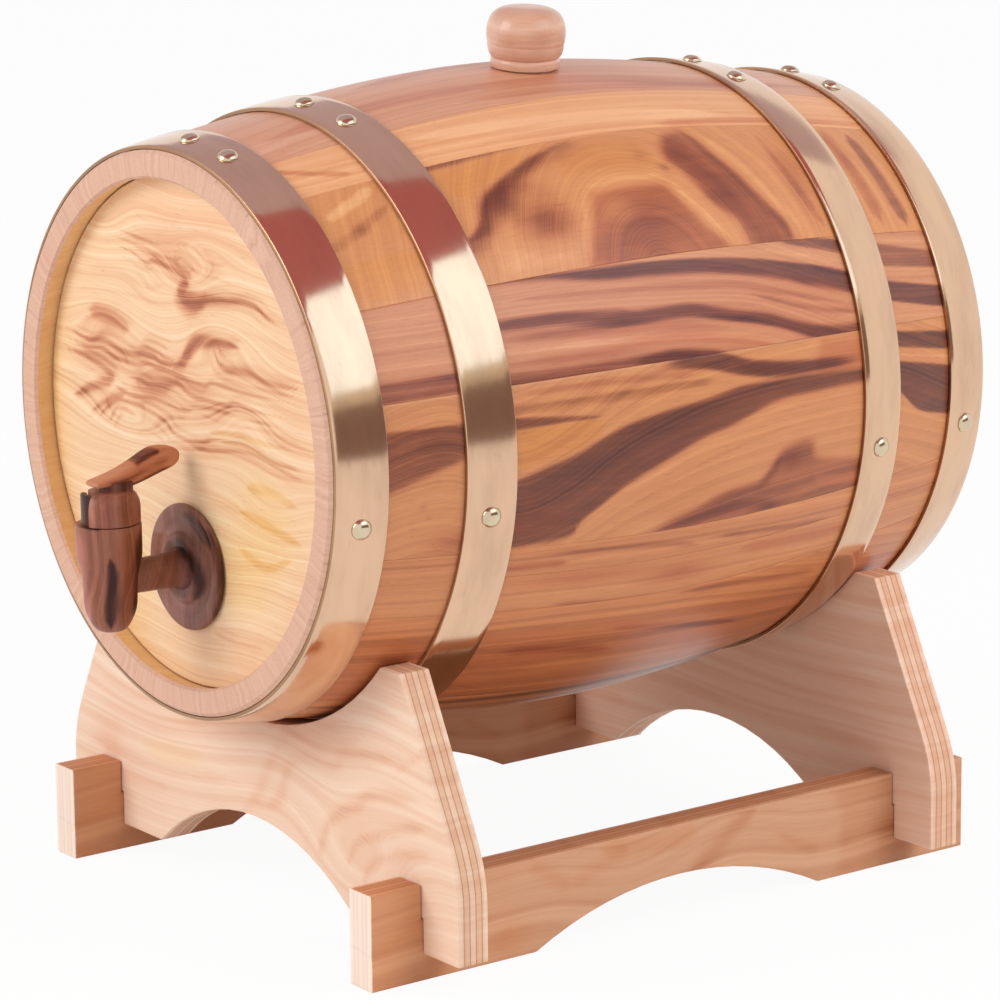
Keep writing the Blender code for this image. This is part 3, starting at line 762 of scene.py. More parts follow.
BUNG_WOOD = Wood(
    "bung_wood",
    shades((132, 76, 50), (188, 128, 100), (211, 160, 134), (226, 182, 160), (239, 208, 189)),
    level=0.56, ring_pitch=3.0, ring_depth=0.4, pore_depth=0.15, roughness=0.34, coat=0.45,
    coat_roughness=0.15, seed=9.0)
TAP_WOOD = Wood(
    "tap_wood",
    shades((56, 24, 18), (108, 60, 46), (150, 94, 74), (176, 116, 94), (198, 144, 126)),
    level=0.46, ring_pitch=3.4, ring_depth=0.5, line_depth=0.2, wander=1.6, fibre_depth=0.25,
    blush=(0.98, 0.80, 0.92), gold=(0.96, 0.78, 0.52), roughness=0.44, specular=0.2, coat=0.16,
    seed=12.0)
LEVER_WOOD = Wood(
    "lever_wood",
    shades((86, 38, 24), (146, 82, 54), (190, 120, 84), (208, 142, 106), (222, 164, 132)),
    level=0.6, ring_pitch=2.6, line_depth=0.25, wander=1.2, fibre_depth=0.25, roughness=0.44,
    specular=0.2, coat=0.12, seed=15.0)
PLATE_PLY = Plywood(
    "plate_ply",
    shades((178, 122, 92), (214, 162, 132), (234, 192, 164), (243, 212, 188), (250, 230, 212)),
    level=0.68, ring_depth=0.62, line_depth=0.16, fibre_depth=0.14, tone_depth=0.5,
    pore_depth=0.12, rosiness=0.4, blush=(0.96, 0.84, 0.80), roughness=0.58, coat=0.0, seed=20.0)
RAIL_PLY = Plywood(
    "rail_ply",
    shades((150, 88, 56), (184, 124, 88), (206, 152, 118), (220, 172, 138), (247, 228, 216)),
    level=0.6, ring_depth=0.5, line_depth=0.12, fibre_depth=0.14, tone_depth=0.5, pore_depth=0.12,
    rosiness=0.4, blush=(0.98, 0.80, 0.64), roughness=0.56, coat=0.0, seed=24.0)
HOOP_BRASS = Brass("hoop_brass", shade(226, 188, 156), shade(208, 170, 142), 0.12, 0.12)
# Darker brass for the hoops' side edges: painted shade.
SHADED_HOOP_EDGE = Brass("shaded_hoop_edge", shade(186, 146, 112), shade(150, 112, 82), 0.35, 0.2)
NAIL_BRASS = Brass("nail_brass", shade(220, 202, 172), shade(194, 172, 144), 0.12, 0.05)


def from_rings(name: str, rings: Array, caps: bool) -> bpy.types.Mesh:
    """Skin a row of closed loops of points.

    Args:
        name: The mesh's name.
        rings: Loops by points by three, in metres.
        caps: Close the first and the last loop with a face, or else join them.

    Returns:
        The mesh, facing outwards.
    """
    count, size = rings.shape[:2]
    faces = []
    for ring in range(count - 1 if caps else count):
        near = ring * size
        far = (ring + 1) % count * size
        for index in range(size):
            after = (index + 1) % size
            faces.append((near + index, near + after, far + after, far + index))
    if caps:
        faces.append(tuple(range(size - 1, -1, -1)))
        faces.append(tuple(range((count - 1) * size, count * size)))
    mesh = bpy.data.meshes.new(name)
    mesh.from_pydata(rings.reshape(-1, 3).tolist(), [], faces)
    work = bmesh.new()
    work.from_mesh(mesh)
    bmesh.ops.remove_doubles(work, verts=work.verts, dist=1e-7)
    bmesh.ops.recalc_face_normals(work, faces=work.faces)
    work.to_mesh(mesh)
    work.free()
    return mesh


def turned(name: str, profile: list[Point], steps: int) -> bpy.types.Mesh:
    """Turn a profile about Z, from its top on the axis to its foot on the axis.

    Args:
        name: The mesh's name.
        profile: Radius and height of each point, in metres.
        steps: Steps in a full turn.

    Returns:
        The closed mesh.
    """
    angles = np.linspace(0.0, math.tau, steps, endpoint=False)
    rings = np.array([[(radius * math.cos(angle), radius * math.sin(angle), height)
                       for angle in angles] for radius, height in profile])
    return from_rings(name, rings, caps=True)


def softened(points: list[Point], steps: int = 4) -> list[Point]:
    """A profile with a soft curve through its points."""
    return [(max(float(x), 0.0), float(y)) for x, y in smooth_path(tuple(points), steps)]


def linked(name: str, data: bpy.types.ID) -> Piece:
    """Put a mesh, a lamp or a camera in the scene.

    Args:
        name: The piece's name.
        data: What it shows or does.

    Returns:
        The piece.
    """
    piece = bpy.data.objects.new(name, data)
    bpy.context.scene.collection.objects.link(piece)
    return piece


def carve(piece: Piece, tool: Piece, operation: str) -> None:
    """Cut or join a piece with a tool piece, and remove the tool.

    Args:
        piece: The piece to change.
        tool: The piece that shapes it.
        operation: DIFFERENCE, UNION or INTERSECT.
    """
    modifier = piece.modifiers.new("carve", "BOOLEAN")
    modifier.operation = operation
    modifier.solver = "EXACT"
    modifier.object = tool
    bpy.context.view_layer.update()
    live = piece.evaluated_get(bpy.context.evaluated_depsgraph_get())
    mesh = bpy.data.meshes.new_from_object(live)
    mesh.name = piece.name
    piece.modifiers.clear()
    piece.data = mesh
    bpy.data.objects.remove(tool, do_unlink=True)


def smooth(piece: Piece, degrees: float) -> None:
    """Shade a piece smooth but for edges sharper than an angle."""
    piece.data.shade_smooth()
    piece.data.set_sharp_from_angle(angle=math.radians(degrees))


def fit(piece: Piece, body: Body, slot: str, *nodes: str) -> Piece:
    """Let a finished piece ride on its body and stand for its solids.

    Args:
        piece: The finished piece.
        body: The moving group that carries it.
        slot: Not used.
        *nodes: The solids that it stands for.

    Returns:
        The same piece.
    """
    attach(piece, body.value)
    if nodes:
        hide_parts(*nodes)
    LOG.info("%s: %d faces on %s", piece.name, len(piece.data.polygons), body.value)
    return piece


@dataclass(frozen=True)
class CaskShape:
    """Main sizes of the barrel, which its pieces share."""

    length: float = 0.260
    bilge_radius: float = 0.1044
    end_radius: float = 0.0886
    wall: float = 0.0088
    belly_power: float = 1.6
    belly_rounding: float = 0.2
    setback: float = 0.0165
    axis_height: float = 0.159577
    chime_depth: float = 0.0070
    head_thickness: float = 0.0100
    fit_gap: float = 0.0003

    def radius(self, height: float) -> float:
        """Outer radius of the barrel.

        Args:
            height: Place along its axis, counted from its middle.

        Returns:
            The radius there.
        """
        share = abs(height) / (self.length / 2)
        rounding = self.belly_rounding ** self.belly_power
        bend = (share ** 2 + self.belly_rounding ** 2) ** (self.belly_power / 2) - rounding
        full = (1 + self.belly_rounding ** 2) ** (self.belly_power / 2) - rounding
        return self.bilge_radius - (self.bilge_radius - self.end_radius) * bend / full

    def place(self, radius: float, angle: float, height: float) -> Triple:
        """A point by its radius, its angle from +X to +Z and its height towards the tap."""
        return (radius * math.cos(angle), self.setback - height,
                self.axis_height + radius * math.sin(angle))

    @property
    def head_face(self) -> float:
        """Height of the front head's outer face."""
        return self.length / 2 - self.chime_depth


CASK = CaskShape()
DEGREE = math.radians(1.0) * FIGURE_RADIUS / MM
TOP_BOARD = Board(Sweep((-130, 84, -60, 88, 0, 87, 60, 85, 130, 88)), (
    Stroke((-110, 78, -60, 80, 0, 77, 60, 74, 120, 76), (4, 3), 0.22, 0.5),
    Stroke((-60, 92, -10, 95, 50, 92, 100, 94), (5, 6), 0.25, 0.6),
    Stroke((-40, 74, 20, 72, 90, 72), (2.4, 1.6), 0.2, 0.4),
    Patch((-118, 81, -88, 81, -88, 71, -118, 71), -0.3, 0.2, 3)), unit=DEGREE)
BRIGHT_BOARD = Board(Sweep((-130, 66, 0, 64, 130, 63)), (
    Stroke((-70, 66, -30, 64, 10, 62.5, 60, 61), (3, 3.4, 2.6), -0.42),
    Stroke((-116, 68, -110, 66.4, -100, 63, -90, 60.7), (1, 1.6), 0.42, 0.2),
    Stroke((20, 59, 50, 59.4, 130, 60), (1.6, 2), 0.35, 0.4)), unit=DEGREE)
FLAME_BOARD = Board(Arches((-5, 27), (27, 33)), (
    Band((-74, 59.4, -50, 59, -26, 58.9), (-74, 56.4, -50, 57, -26, 58.5), 0.6, 0.3, (0.5, 1.8,
        6)), Patch((-70, 56, -52, 56.6, -37, 56.5, -38, 53, -50, 51, -64, 49.5), -0.05, -0.7, 3),
    Band((-74, 39, -70, 40.5, -63, 43, -59, 46.5, -55.5, 48.5, -50, 50.5, -42, 53, -33, 55,
        -23, 56.8, -14, 57.6), (-74, 35, -68, 37, -60, 40, -52, 45, -42, 49, -33, 52, -23, 54.6,
        -14, 56.4), 0.6, 0.4, (1.6, 5, 5)),
    SoftLine((-70, 39.6, -63, 42.2, -59, 45.6, -55, 47.8, -50, 49.8, -42, 52.2, -33, 54.2,
        -23, 56), (2, 2.6, 1.6), 0.4, 0.4), Spot((-51.7, 46.3), (6, 5.6), 0.6, 0.1),
    Spot((-39.4, 41), (7, 6), 0.4, 0.7),
    Patch((-52, 48, -40, 49.5, -30, 46, -30, 38, -40, 36.5, -52, 38), 0.26, 0.2, 4),
    Patch((-60, 37.6, -45, 37, -33, 35.6, -33, 33, -60, 32.8), -0.3, 0, 3),
    Patch((-20, 45, -6, 45.2, 8, 45, 12, 40.5, 16.5, 36, 20, 30.8, -28, 30.8, -29, 34.5,
        -26, 38.5, -22.5, 43), 0.42, 0.8, 2.6), Spot((-6, 36), (11, 9), 0.3, 0.3),
    Spot((-14, 41), (7, 5), -0.1, -0.5),
    SoftLine((-32, 31.6, -28, 38, -23.5, 43.4, -17, 46.6, -9, 47.4, 1, 46.9, 8, 46.2,
        14.5, 41.6, 22, 35, 26, 31.4), (1.9, 2.2, 2, 2.6), -0.36),
    Patch((-24, 50, -10, 49.4, 8, 48.6, 11, 52, 5, 56, -15, 56.6, -25, 55), 0.2, -0.5, 3),
    Spot((12, 48.3), (2.4, 2.4), 0.5), Spot((5.5, 51.7), (2.6, 2), 0.25),
    Patch((19, 56, 14.5, 50.6, 19, 45.5, 23, 40.5, 30, 36.5, 32.6, 30.8, 51, 30.8, 50.5, 35.2,
        46.5, 38.5, 42, 43, 39, 46.7, 34.5, 51, 29, 57), 0.48, 0.5, 2.6),
    SoftLine((28, 57, 33.2, 51, 37.6, 46.7, 40.6, 43, 45, 38.5, 49, 35.2, 49.6, 31.6), (2.2,
        2.8, 2), 0.4, 0.3),
    SoftLine((20, 55, 25, 48, 32, 41, 40, 35, 44, 31), (4.4, 6, 7), 0.2, 0.5),
    Spot((29, 41.3), (6, 6), 0.3, 0.7), Spot((20, 52), (6, 5), 0.2, 0.6),
    SoftLine((33.5, 57, 38.8, 51, 43.2, 46.7, 46.4, 43, 50.8, 38.5, 54.8, 35.2, 56, 31.6), (2.6,
        3, 2.6), -0.3), Spot((63, 44), (6, 16), 0.36, 0.5),
    Stroke((58, 57, 60, 48, 63, 40, 67, 33), (1.2, 1.6), 0.2, 0.3),
    Stroke((90, 58, 92, 45, 94, 33), (2.6, 3), 0.35, 0.5),
    Stroke((101, 57, 102.7, 44, 106, 32), (2.8, 3), 0.6, 0.3),
    Stroke((-109, 51, -99, 53.6, -88, 56.4), (2.2, 2.6), -0.45), Spot((-99.6, 47.5), (3, 3), 0.4),
    Stroke((-118, 44, -106, 46, -95, 49, -86, 52), (2.4, 1.6), 0.36),
    Patch((-118, 40.4, -86, 40.6, -86, 33.6, -118, 33.4), -0.1, -0.7, 2)), unit=DEGREE)
MAUVE_BOARD = Board(Sweep((-130, 25, -68, 24, -20, 22.5, 20, 20, 45, 16, 70, 11.5, 110, 9.5,
        130, 9)), (
    Band((-74, 32.4, -50, 31.6, -30, 31.1, -10, 30.8, 10, 30.1, 30, 28.9, 41, 27.9, 50, 27,
        60, 26, 74, 24), (-74, 31.7, -50, 30.8, -30, 28.8, -10, 28, 10, 27.2, 30, 26, 41, 24.9,
        50, 23.2, 60, 22.2, 74, 19.6), 0.9, 0.5, (0.8, 1.8, 5)),
    Band((44, 31.8, 60, 31.6, 76, 30.2), (44, 31, 58, 29.4, 76, 27), 0.75, 0.35, (0.6, 1, 4)),
    SoftLine((30, 30.3, 42, 29.5, 54, 28.2, 72, 26.2), (1, 1.3), -0.3),
    Band((-74, 25, -50, 24.7, -30, 22.9, -17, 22.6, 0, 22.5, 10, 20.9, 19, 20, 30, 19, 41, 17,
        50, 15.7, 60, 15.1, 74, 15), (-74, 22.8, -50, 22.2, -30, 20.6, -17, 20.3, 0, 20.2,
        10, 19, 19, 18, 30, 16.8, 41, 15, 50, 13.3, 60, 11.7, 74, 10.4), 0.6, 0.5, (1.6, 1.2,
        3)),
    SoftLine((-40, 22.4, -26, 21.7, -10, 21.5, 4, 20.9, 19, 19, 34, 17.2, 50, 14.4, 72, 12.8),
        (0.8, 1.4, 2, 1.5, 2.6), 0.6, 0.35),
    SoftLine((-34, 19.9, -10, 19.5, 10, 18.1, 30, 15.8, 50, 12.3, 72, 9.7), (1, 1.3, 1), -0.3),
    Band((-74, 15.6, -30, 14.9, -10, 15.2, 1, 14.6, 10, 13.5, 22, 11), (-74, 13, -30, 12.4,
        -10, 11.7, 1, 11, 10, 9.8, 22, 8.4), 0.7, 0.55, (1.2, 1.2, 5)),
    SoftLine((-24, 13.9, -10, 13.6, 2, 13), (1, 2, 1.4), 0.5, 0.3),
    SoftLine((-70, 28.6, -40, 27.2, -10, 26, 20, 24.5, 40, 22, 72, 17.8), (1, 1.3, 1), 0.34, 0.3),
    SoftLine((24, 22.8, 50, 18.7, 72, 16.8), (0.9, 1.1), 0.4, 0.3),
    SoftLine((-74, 21.4, -44, 20.6, -14, 19.4, 16, 17), (1.2, 1.6, 1), 0.34, 0.5),
    SoftLine((-74, 24, -40, 23.6, -20, 22.4), (1.2, 1.4), 0.3, 0.5),
    SoftLine((8, 28.6, 36, 25.4, 72, 20.2), (1, 1.3, 1.2), 0.3, 0.5),
    SoftLine((0, 13.4, 26, 10.8, 60, 8.8), (1, 1.2), 0.3, 0.5),
    SoftLine((-70, 26.3, -30, 25, 0, 24, 26, 21.4), (1.2, 1), -0.2),
    SoftLine((-72, 17, -40, 16.6, -10, 17, 20, 14.6, 44, 11), (1.2, 1.5, 1), 0.2, 0.5),
    Band((-74, 32, -40, 31, 0, 29, 74, 22), (-74, 12, 0, 12, 74, 4), 0.06, 0.3, (1, 1, 20)),
    Stroke((-70, 18.6, -20, 18, 10, 16, 34, 12.6, 72, 9.6), (2.6, 1.8), -0.3),
    Patch((-120, 33, -86, 33, -86, 18.4, -120, 18.2), -0.16, 0.3, 1.6),
    Band((-122, 17.4, -84, 17.2), (-122, 13.2, -84, 13.6), 0.6, 0.7),
    Stroke((-120, 25, -86, 24), (1, 1.4), 0.25, 0.4),
    Band((84, 29.8, 110, 27.5, 128, 26.5), (84, 24.9, 110, 23.6, 128, 22.8), 0.6, 0.4),
    Band((84, 22.2, 110, 20, 128, 19), (84, 18.2, 110, 15.7, 128, 14.6), 0.95, 0.3)), unit=DEGREE)
SWEEP_BOARD = Board(Sweep((-130, -12, -112, -6, -90, -4, -70, -11, -50, -8, -30, -2, -10, 1.5,
        10, 3.6, 40, 5, 68, 5, 88, 3, 110, -2, 130, -6)), (
    Band((-12, 16, 1, 14.6, 10, 13.3, 19, 11.7, 30, 10.6, 41, 9.9, 52, 9.4, 64, 9), (-12, 11.7,
        1, 11, 10, 9.8, 19, 8.6, 30, 7.7, 41, 7.4, 52, 7.4, 64, 7.6), 0.85, 0.45, (1.2, 1.2,
        8)), Stroke((12, 11.6, 22, 9.8, 30, 9, 42, 8.6), (1, 1.6, 1), 0.5, 0.2),
    Patch((52, 13, 74, 12, 74, 7.4, 50, 7.6), 0.16, 0.6, 2.4),
    Band((-74, 9.9, -30, 9.7, 4, 9.5), (-74, 8, -37, 7.6, -3, 8, 4, 8.4), 0.46, -0.2, (0.7, 0.7,
        4)), Band((-74, 7.9, -60, 7.3, -38, 6), (-74, 5.4, -38, 5.6), 0.75, 0.35),
    SoftLine((-72, 8.1, -30, 7.7, 10, 7.6), (0.9, 1), -0.2),
    SoftLine((-70, 11.6, -30, 11.4, 0, 10.4), (1.1, 1.2), 0.34, 0.3),
    SoftLine((-70, 3.4, -50, 2.6, -36, 4.6), (1.4, 1.2), 0.3, 0.1),
    Patch((-72, 5.4, -40, 5.6, -43, 1.6, -58, -0.4, -72, -1.4), -0.12, -0.8, 1.6),
    Band((-76, -4.4, -59, -1.9, -50, -0.5, -40, 1.8, -30, 3.6, -20, 4.6, -10, 5.4, 1, 6.1,
        10, 6.9, 19, 7.3, 44, 7, 74, 6.3), (-76, -16.6, -50, -15.3, -45, -12.7, -40, -10.8,
        -30, -7.3, -20, -4.8, -10, -2.6, 0, -0.7, 10, 0.3, 20, 1.9, 30, 3.2, 41, 3.7, 74, 3.7),
        0.78, 0.45, (1.2, 1.8, 3)),
    SoftLine((-68, -6, -52, -4, -40, -1.6, -28, 0.6, -15, 2.6, 0, 3.9, 16, 5.4), (5, 5.4, 4.6,
        2.8, 1.4), 0.5, -0.1), Spot((-62, -11.5), (13, 6), -0.08, 0.5),
    SoftLine((-46, -15.6, -40, -12, -28, -7.6, -16, -5, 0, -1.9, 20, 0.8, 34, 2.2, 70, 2.6), (2,
        1.6, 1.8), -0.25), Stroke((-30, -12, -16, -8, 0, -5, 20, -2.6, 40, -1), (0.6, 0.7), 0.28),
    Patch((-22, -17.4, -10, -14, 1, -12.4, 10, -11.1, 19, -10.7, 24, -10.2, 28, -8.3, 32, -5.7,
        41, -4.5, 47, -5.1, 50, -8.3, 74, -11.4, 74, -17.6), 0.5, 0.6, 2.4),
    SoftLine((-4, -13.4, 10, -11.9, 19, -11.4, 25, -11, 29, -9, 33, -6.6), (1.4, 1.6), 0.35, 0.2),
    SoftLine((-14, -16, 6, -14.8, 20, -14.6, 34, -15.8), (1.4, 2, 1.2), 0.34, 0.3),
    Spot((30, -15.9), (6, 2.4), 0.4, 0.2), Spot((37, -7.5), (6, 3.4), 0.2, 0.5),
    Stroke((48, -12.4, 60, -14, 74, -14.6), (1.4, 1.8), -0.2, 0.3),
    Stroke((-122, 9.9, -84, 9.6), (0.8, 0.9), 0.5),
    Band((-124, 8.6, -84, 8), (-124, -5.4, -112, -3.4, -89, 1, -82, 2), 0.62, 0.4, (0.8, 2, 3)),
    Spot((-93, 5), (9, 4), 0.4), Spot((-100, -6.4), (1.8, 1.6), 0.4),
    Spot((-98, -8.6), (1.5, 1.3), 0.35), Spot((-103, -10.4), (1.5, 1.3), 0.3),
    Spot((-89, -14), (9, 5), 0.3, 0.6),
    Band((84, 12.3, 110, 10.7, 128, 9.8), (84, 9.3, 110, 7, 128, 6), 0.85, 0.3),
    Stroke((84, 7.8, 110, 5.6, 128, 4.6), (0.5, 0.7), -0.4),
    Band((84, 6.7, 110, 3.8, 128, 1), (84, 0.9, 88, 0, 96.5, -4, 110, -6.4, 128, -9), 0.85,
        0.3)), unit=DEGREE)
STRIP_BOARD = Board(Sweep((-130, -19, 0, -19.6, 60, -21.5, 130, -24)), (
    SoftLine((-72, -20.3, -58, -20.3, -46, -20.2), (1.2, 1), 0.4, 0.7),
    SoftLine((-60, -18.1, -30, -18.6, -10, -19.4, 4, -20.8), (1, 1.2), 0.34, 0.3),
    SoftLine((6, -19.6, 30, -20.7, 42, -21.4, 72, -23), (0.9, 1.2), 0.5, 0.3),
    SoftLine((26, -18.2, 50, -18.6, 74, -19.6), (1.2, 1.4), -0.3, 0.3)), unit=DEGREE)
SALMON_BOARD = Board(Sweep((-130, -26, -40, -26, 20, -26.6, 70, -29, 130, -32)), (
    Spot((-3, -26), (13, 3.4), 0.32, 0.8), Spot((-40, -24), (22, 3), 0.1, 0.6),
    Stroke((-70, -26.7, -20, -26.8, 30, -27.4, 70, -28.4), (1.8, 2.2), -0.25),
    SoftLine((20, -23.6, 44, -24.4, 72, -25.6), (1.8, 2.4), -0.1, 0.7),
    SoftLine((-50, -29.2, -26, -30.2, -6, -30.4), (1, 1.2), 0.36, 0.3)), unit=DEGREE)
LOWER_BOARD = Board(Sweep((-130, -40, -60, -38, 0, -38.6, 40, -42, 80, -48, 130, -56)), (
    SoftLine((0, -31, 18, -31.4, 30, -32, 50, -34, 72, -36.4), (1.2, 1.6), 0.4, 0.4),
    SoftLine((-40, -32, -16, -33.4, 10, -34, 40, -36.4), (1, 1.2), -0.2),
    Band((-124, -35, 0, -35.6, 124, -40), (-124, -62, 124, -62), 0.24, 0.4, (3, 1, 2)),
    SoftLine((-24, -37.2, -8, -38.3, 10, -40.4, 25, -42.6, 44, -46), (1.2, 1.8, 1.2), 0.3, 0.5),
    SoftLine((-60, -41, -36, -42, -14, -44), (1.6, 2), 0.16, 0.5),
    SoftLine((-66, -36.4, -30, -36.8, 4, -38.6, 40, -42), (1.2, 1.6), -0.24),
    SoftLine((-50, -47, -10, -48, 30, -51), (2, 2.4), -0.2, -0.2),
    Spot((23, -48), (9, 7), -0.3, 0.5)), unit=DEGREE)


def hidden_boards() -> list[Board]:
    """The figure of the staves behind and beneath, which follows no photograph.

    Returns:
        One board per stave, on from the last one in view.
    """
    dice = np.random.default_rng(71)
    boards = []
    ends = (-130, -60, 0, 60, 130)
    for middle in (-69, -92, -117, -141, -165, -192, -216.5, -241.5):
        bend = dice.uniform(-5, 5, len(ends))
        marks = []
        for offset in dice.uniform(-11, 11, 6):
            lean = dice.uniform(-3, 3)
            path = sum(((u, middle + offset + b + lean * u / 130)
                        for u, b in zip(ends, bend)), ())
            marks.append(Stroke(path, tuple(dice.uniform(0.8, 4.5, 3)),
                                dice.uniform(0.3, 0.8) * 0.75, dice.uniform(0.0, 0.6), 0.8))
        marks.append(Spot((dice.uniform(-60, 60), middle + dice.uniform(-6, 6)),
                          (6.0, 4.0), 0.5))
        rings = Sweep(sum(((u, middle + b) for u, b in zip(ends, bend)), ()))
        boards.append(Board(rings, tuple(marks), unit=DEGREE))
    return boards


@dataclass(frozen=True)
class StaveTone:
    """How one stave's wood departs from the common one. On the top stave it also carries a
    painted sheen.
    """

    level: float
    tint: Colour
    ring_depth: float = 0.42
    ring_pitch: float = 4.2

    def wood(self, number: int) -> Wood:
        """The stave's own wood.

        Args:
            number: The stave's number.

        Returns:
            The finish.
        """
        mixed = tuple(tuple(value * factor for value, factor in zip(colour, self.tint))
                      for colour in OUTER_STAVE.colours)
        return Wood(f"stave_wood_{number:02d}", mixed, level=self.level,
                    ring_depth=self.ring_depth, ring_pitch=self.ring_pitch,
                    line_depth=0.24, wander=2.0, tone_depth=0.56, streaks=1.8, coat=0.34,
                    coat_roughness=0.34, seed=number * 1.37)


STAVE_TONES = (
    # The first stave's raised level and lilac-blue tint are painted sheen: the pale lilac
    # reflection along the barrel's top.
    StaveTone(0.71, (1.00, 1.06, 1.50)), StaveTone(0.84, (1.10, 1.06, 1.06)),
    StaveTone(0.68, (1.04, 0.99, 0.90), 0.20, 5.5), StaveTone(0.66, (1.01, 1.00, 1.18), 0.42),
    StaveTone(0.64, (1.02, 0.98, 0.95), 0.30), StaveTone(0.60, (1.03, 0.95, 0.92)),
    StaveTone(0.62, (1.04, 0.97, 0.92)), StaveTone(0.56, (1.08, 0.95, 0.80)),
    StaveTone(0.56, (1.02, 0.98, 0.90)), StaveTone(0.64, (1.04, 1.00, 0.90)),
    StaveTone(0.52, (0.98, 0.96, 0.98)), StaveTone(0.62, (1.05, 1.00, 0.88)),
    StaveTone(0.57, (1.00, 0.96, 0.94)), StaveTone(0.66, (1.04, 1.02, 0.92)),
    StaveTone(0.55, (1.02, 0.95, 0.96)), StaveTone(0.63, (1.04, 0.99, 0.90)))


@dataclass
class Staves:
    """The wall of the barrel, one board at a time."""

    seams: tuple[float, ...] = (104.0, 70.0, 58.0, 31.5, 13.4, -16.5, -22.2, -30.0, -58.0,
                                -80.0, -104.0, -130.0, -152.0, -178.0, -206.0, -227.0)
    gap: float = 0.00004
    edge: float = 0.00012
    chime: float = 0.0010
    pitch: float = 0.0012
    cross_pitch: float = 0.0009

    def edges(self, number: int) -> Point:
        """Angles of a stave's higher and lower seam in radians."""
        row = (*self.seams, self.seams[0] - 360.0)
        return math.radians(row[number - 1]), math.radians(row[number])

    def stations(self) -> list[Triple]:
        """Where a stave's sections stand.

        Returns:
            Height, outer radius and inner radius of each section.
        """
        half = CASK.length / 2
        flat = half - self.chime
        rows = [(half, CASK.radius(half) - self.chime,
                 CASK.radius(half) - CASK.wall + self.chime)]
        count = round(2 * flat / self.pitch)
        for height in np.linspace(flat, -flat, count):
            outer = CASK.radius(float(height))
            rows.append((float(height), outer, outer - CASK.wall))
        rows.append((-half, rows[0][1], rows[0][2]))
        return rows

    def section(self, outer: float, inner: float, start: float, end: float,
                count: int) -> list[tuple[float, float]]:
        """The radius and angle of each point round a stave's section.

        Args:
            outer: Outer radius.
            inner: Inner radius.
            start: Higher seam angle in radians.
            end: Lower seam angle in radians.
            count: Points along the outer face.

        Returns:
            Radius and angle of each point, the outer face first.
        """
        shy = self.gap / 2
        soft = self.edge
        high = start - shy / outer
        low = end + shy / outer
        face = [(outer, angle) for angle in np.linspace(high - soft / outer,
                                                        low + soft / outer, count)]
        back = soft * ROUNDING
        return [(outer - soft, high), (outer - back, high - back / outer), *face,
                (outer - back, low + back / outer), (outer - soft, low),
                (inner, end + shy / inner),
                *[(inner, angle) for angle in np.linspace(end + shy / inner + 0.004,
                                                          start - shy / inner - 0.004, 6)],
                (inner, start - shy / inner)]

    def build(self, number: int, board: Board, tone: StaveTone) -> Piece:
        """Make, dress and fit one stave.

        Args:
            number: The stave's number, counted from 1.
            board: Its figure.
            tone: Its own shade of wood.

        Returns:
            The piece.
        """
        start, end = self.edges(number)
        count = max(4, round((start - end) * CASK.bilge_radius / self.cross_pitch))
        rings = []
        for height, outer, inner in self.stations():
            rings.append([CASK.place(radius, angle, height) for radius, angle
                          in self.section(outer, inner, start, end, count)])
        name = f"stave_board_{number:02d}"
        piece = linked(name, from_rings(name, np.array(rings), caps=True))
        if number == 1:
            self.drill(piece, Bung())
        self.dress(piece, number, board, tone)
        return fit(piece, Body.BARREL, f"stave_{number:02d}", f"stave_{number:02d}")

    def drill(self, piece: Piece, bung: "Bung") -> None:
        """Cut the tapered bung hole through the top stave.

        Args:
            piece: The stave.
            bung: The bung that the hole is for.
        """
        top, foot = 0.004, -CASK.wall - 0.006
        mouth = bung.plug_radius + CASK.fit_gap
        mesh = turned("bung_drill", [(0.0, top), (mouth, top), (mouth, -CASK.fit_gap),
                                     (bung.tip_radius + CASK.fit_gap, foot), (0.0, foot)], 64)
        mesh.transform(bung.stand)
        carve(piece, linked("bung_drill", mesh), "DIFFERENCE")

    def dress(self, piece: Piece, number: int, board: Board, tone: StaveTone) -> None:
        """Give a stave its figure and its three finishes.

        Args:
            piece: The stave.
            number: Its number.
            board: Its figure.
            tone: Its own shade of wood.
        """
        points = points_of(piece.data)
        rise = points[:, 2] - CASK.axis_height
        angle = np.arctan2(rise, points[:, 0])
        middle = sum(self.edges(number)) / 2
        angle = middle + (angle - middle + math.pi) % math.tau - math.pi
        radius = np.hypot(rise, points[:, 0])
        along = points[:, 1] - CASK.setback
        board.paint(piece.data, np.stack([along, angle * FIGURE_RADIUS, radius], 1))
        for material in (tone.wood(number).material(), material_of(CHIME_WOOD),
                         material_of(INSIDE_WOOD)):
            piece.data.materials.append(material)
        half = CASK.length / 2
        for face in piece.data.polygons:
            centre = face.center
            out = math.hypot(centre.x, centre.z - CASK.axis_height)
            height = abs(centre.y - CASK.setback)
            if height > half - self.chime * 0.9 and out < CASK.end_radius - 0.0002:
                face.material_index = Region.CHIME.value
            elif out < CASK.radius(height) - CASK.wall * 0.75:
                face.material_index = Region.INSIDE.value
        smooth(piece, 38.0)


_MATERIALS: dict[str, bpy.types.Material] = {}


def material_of(finish: Wood | Brass) -> bpy.types.Material:
    """The one material of a finish that several pieces share.

    Args:
        finish: The finish.

    Returns:
        Its material, made when it is first asked for.
    """
    if finish.name not in _MATERIALS:
        _MATERIALS[finish.name] = finish.material()
    return _MATERIALS[finish.name]


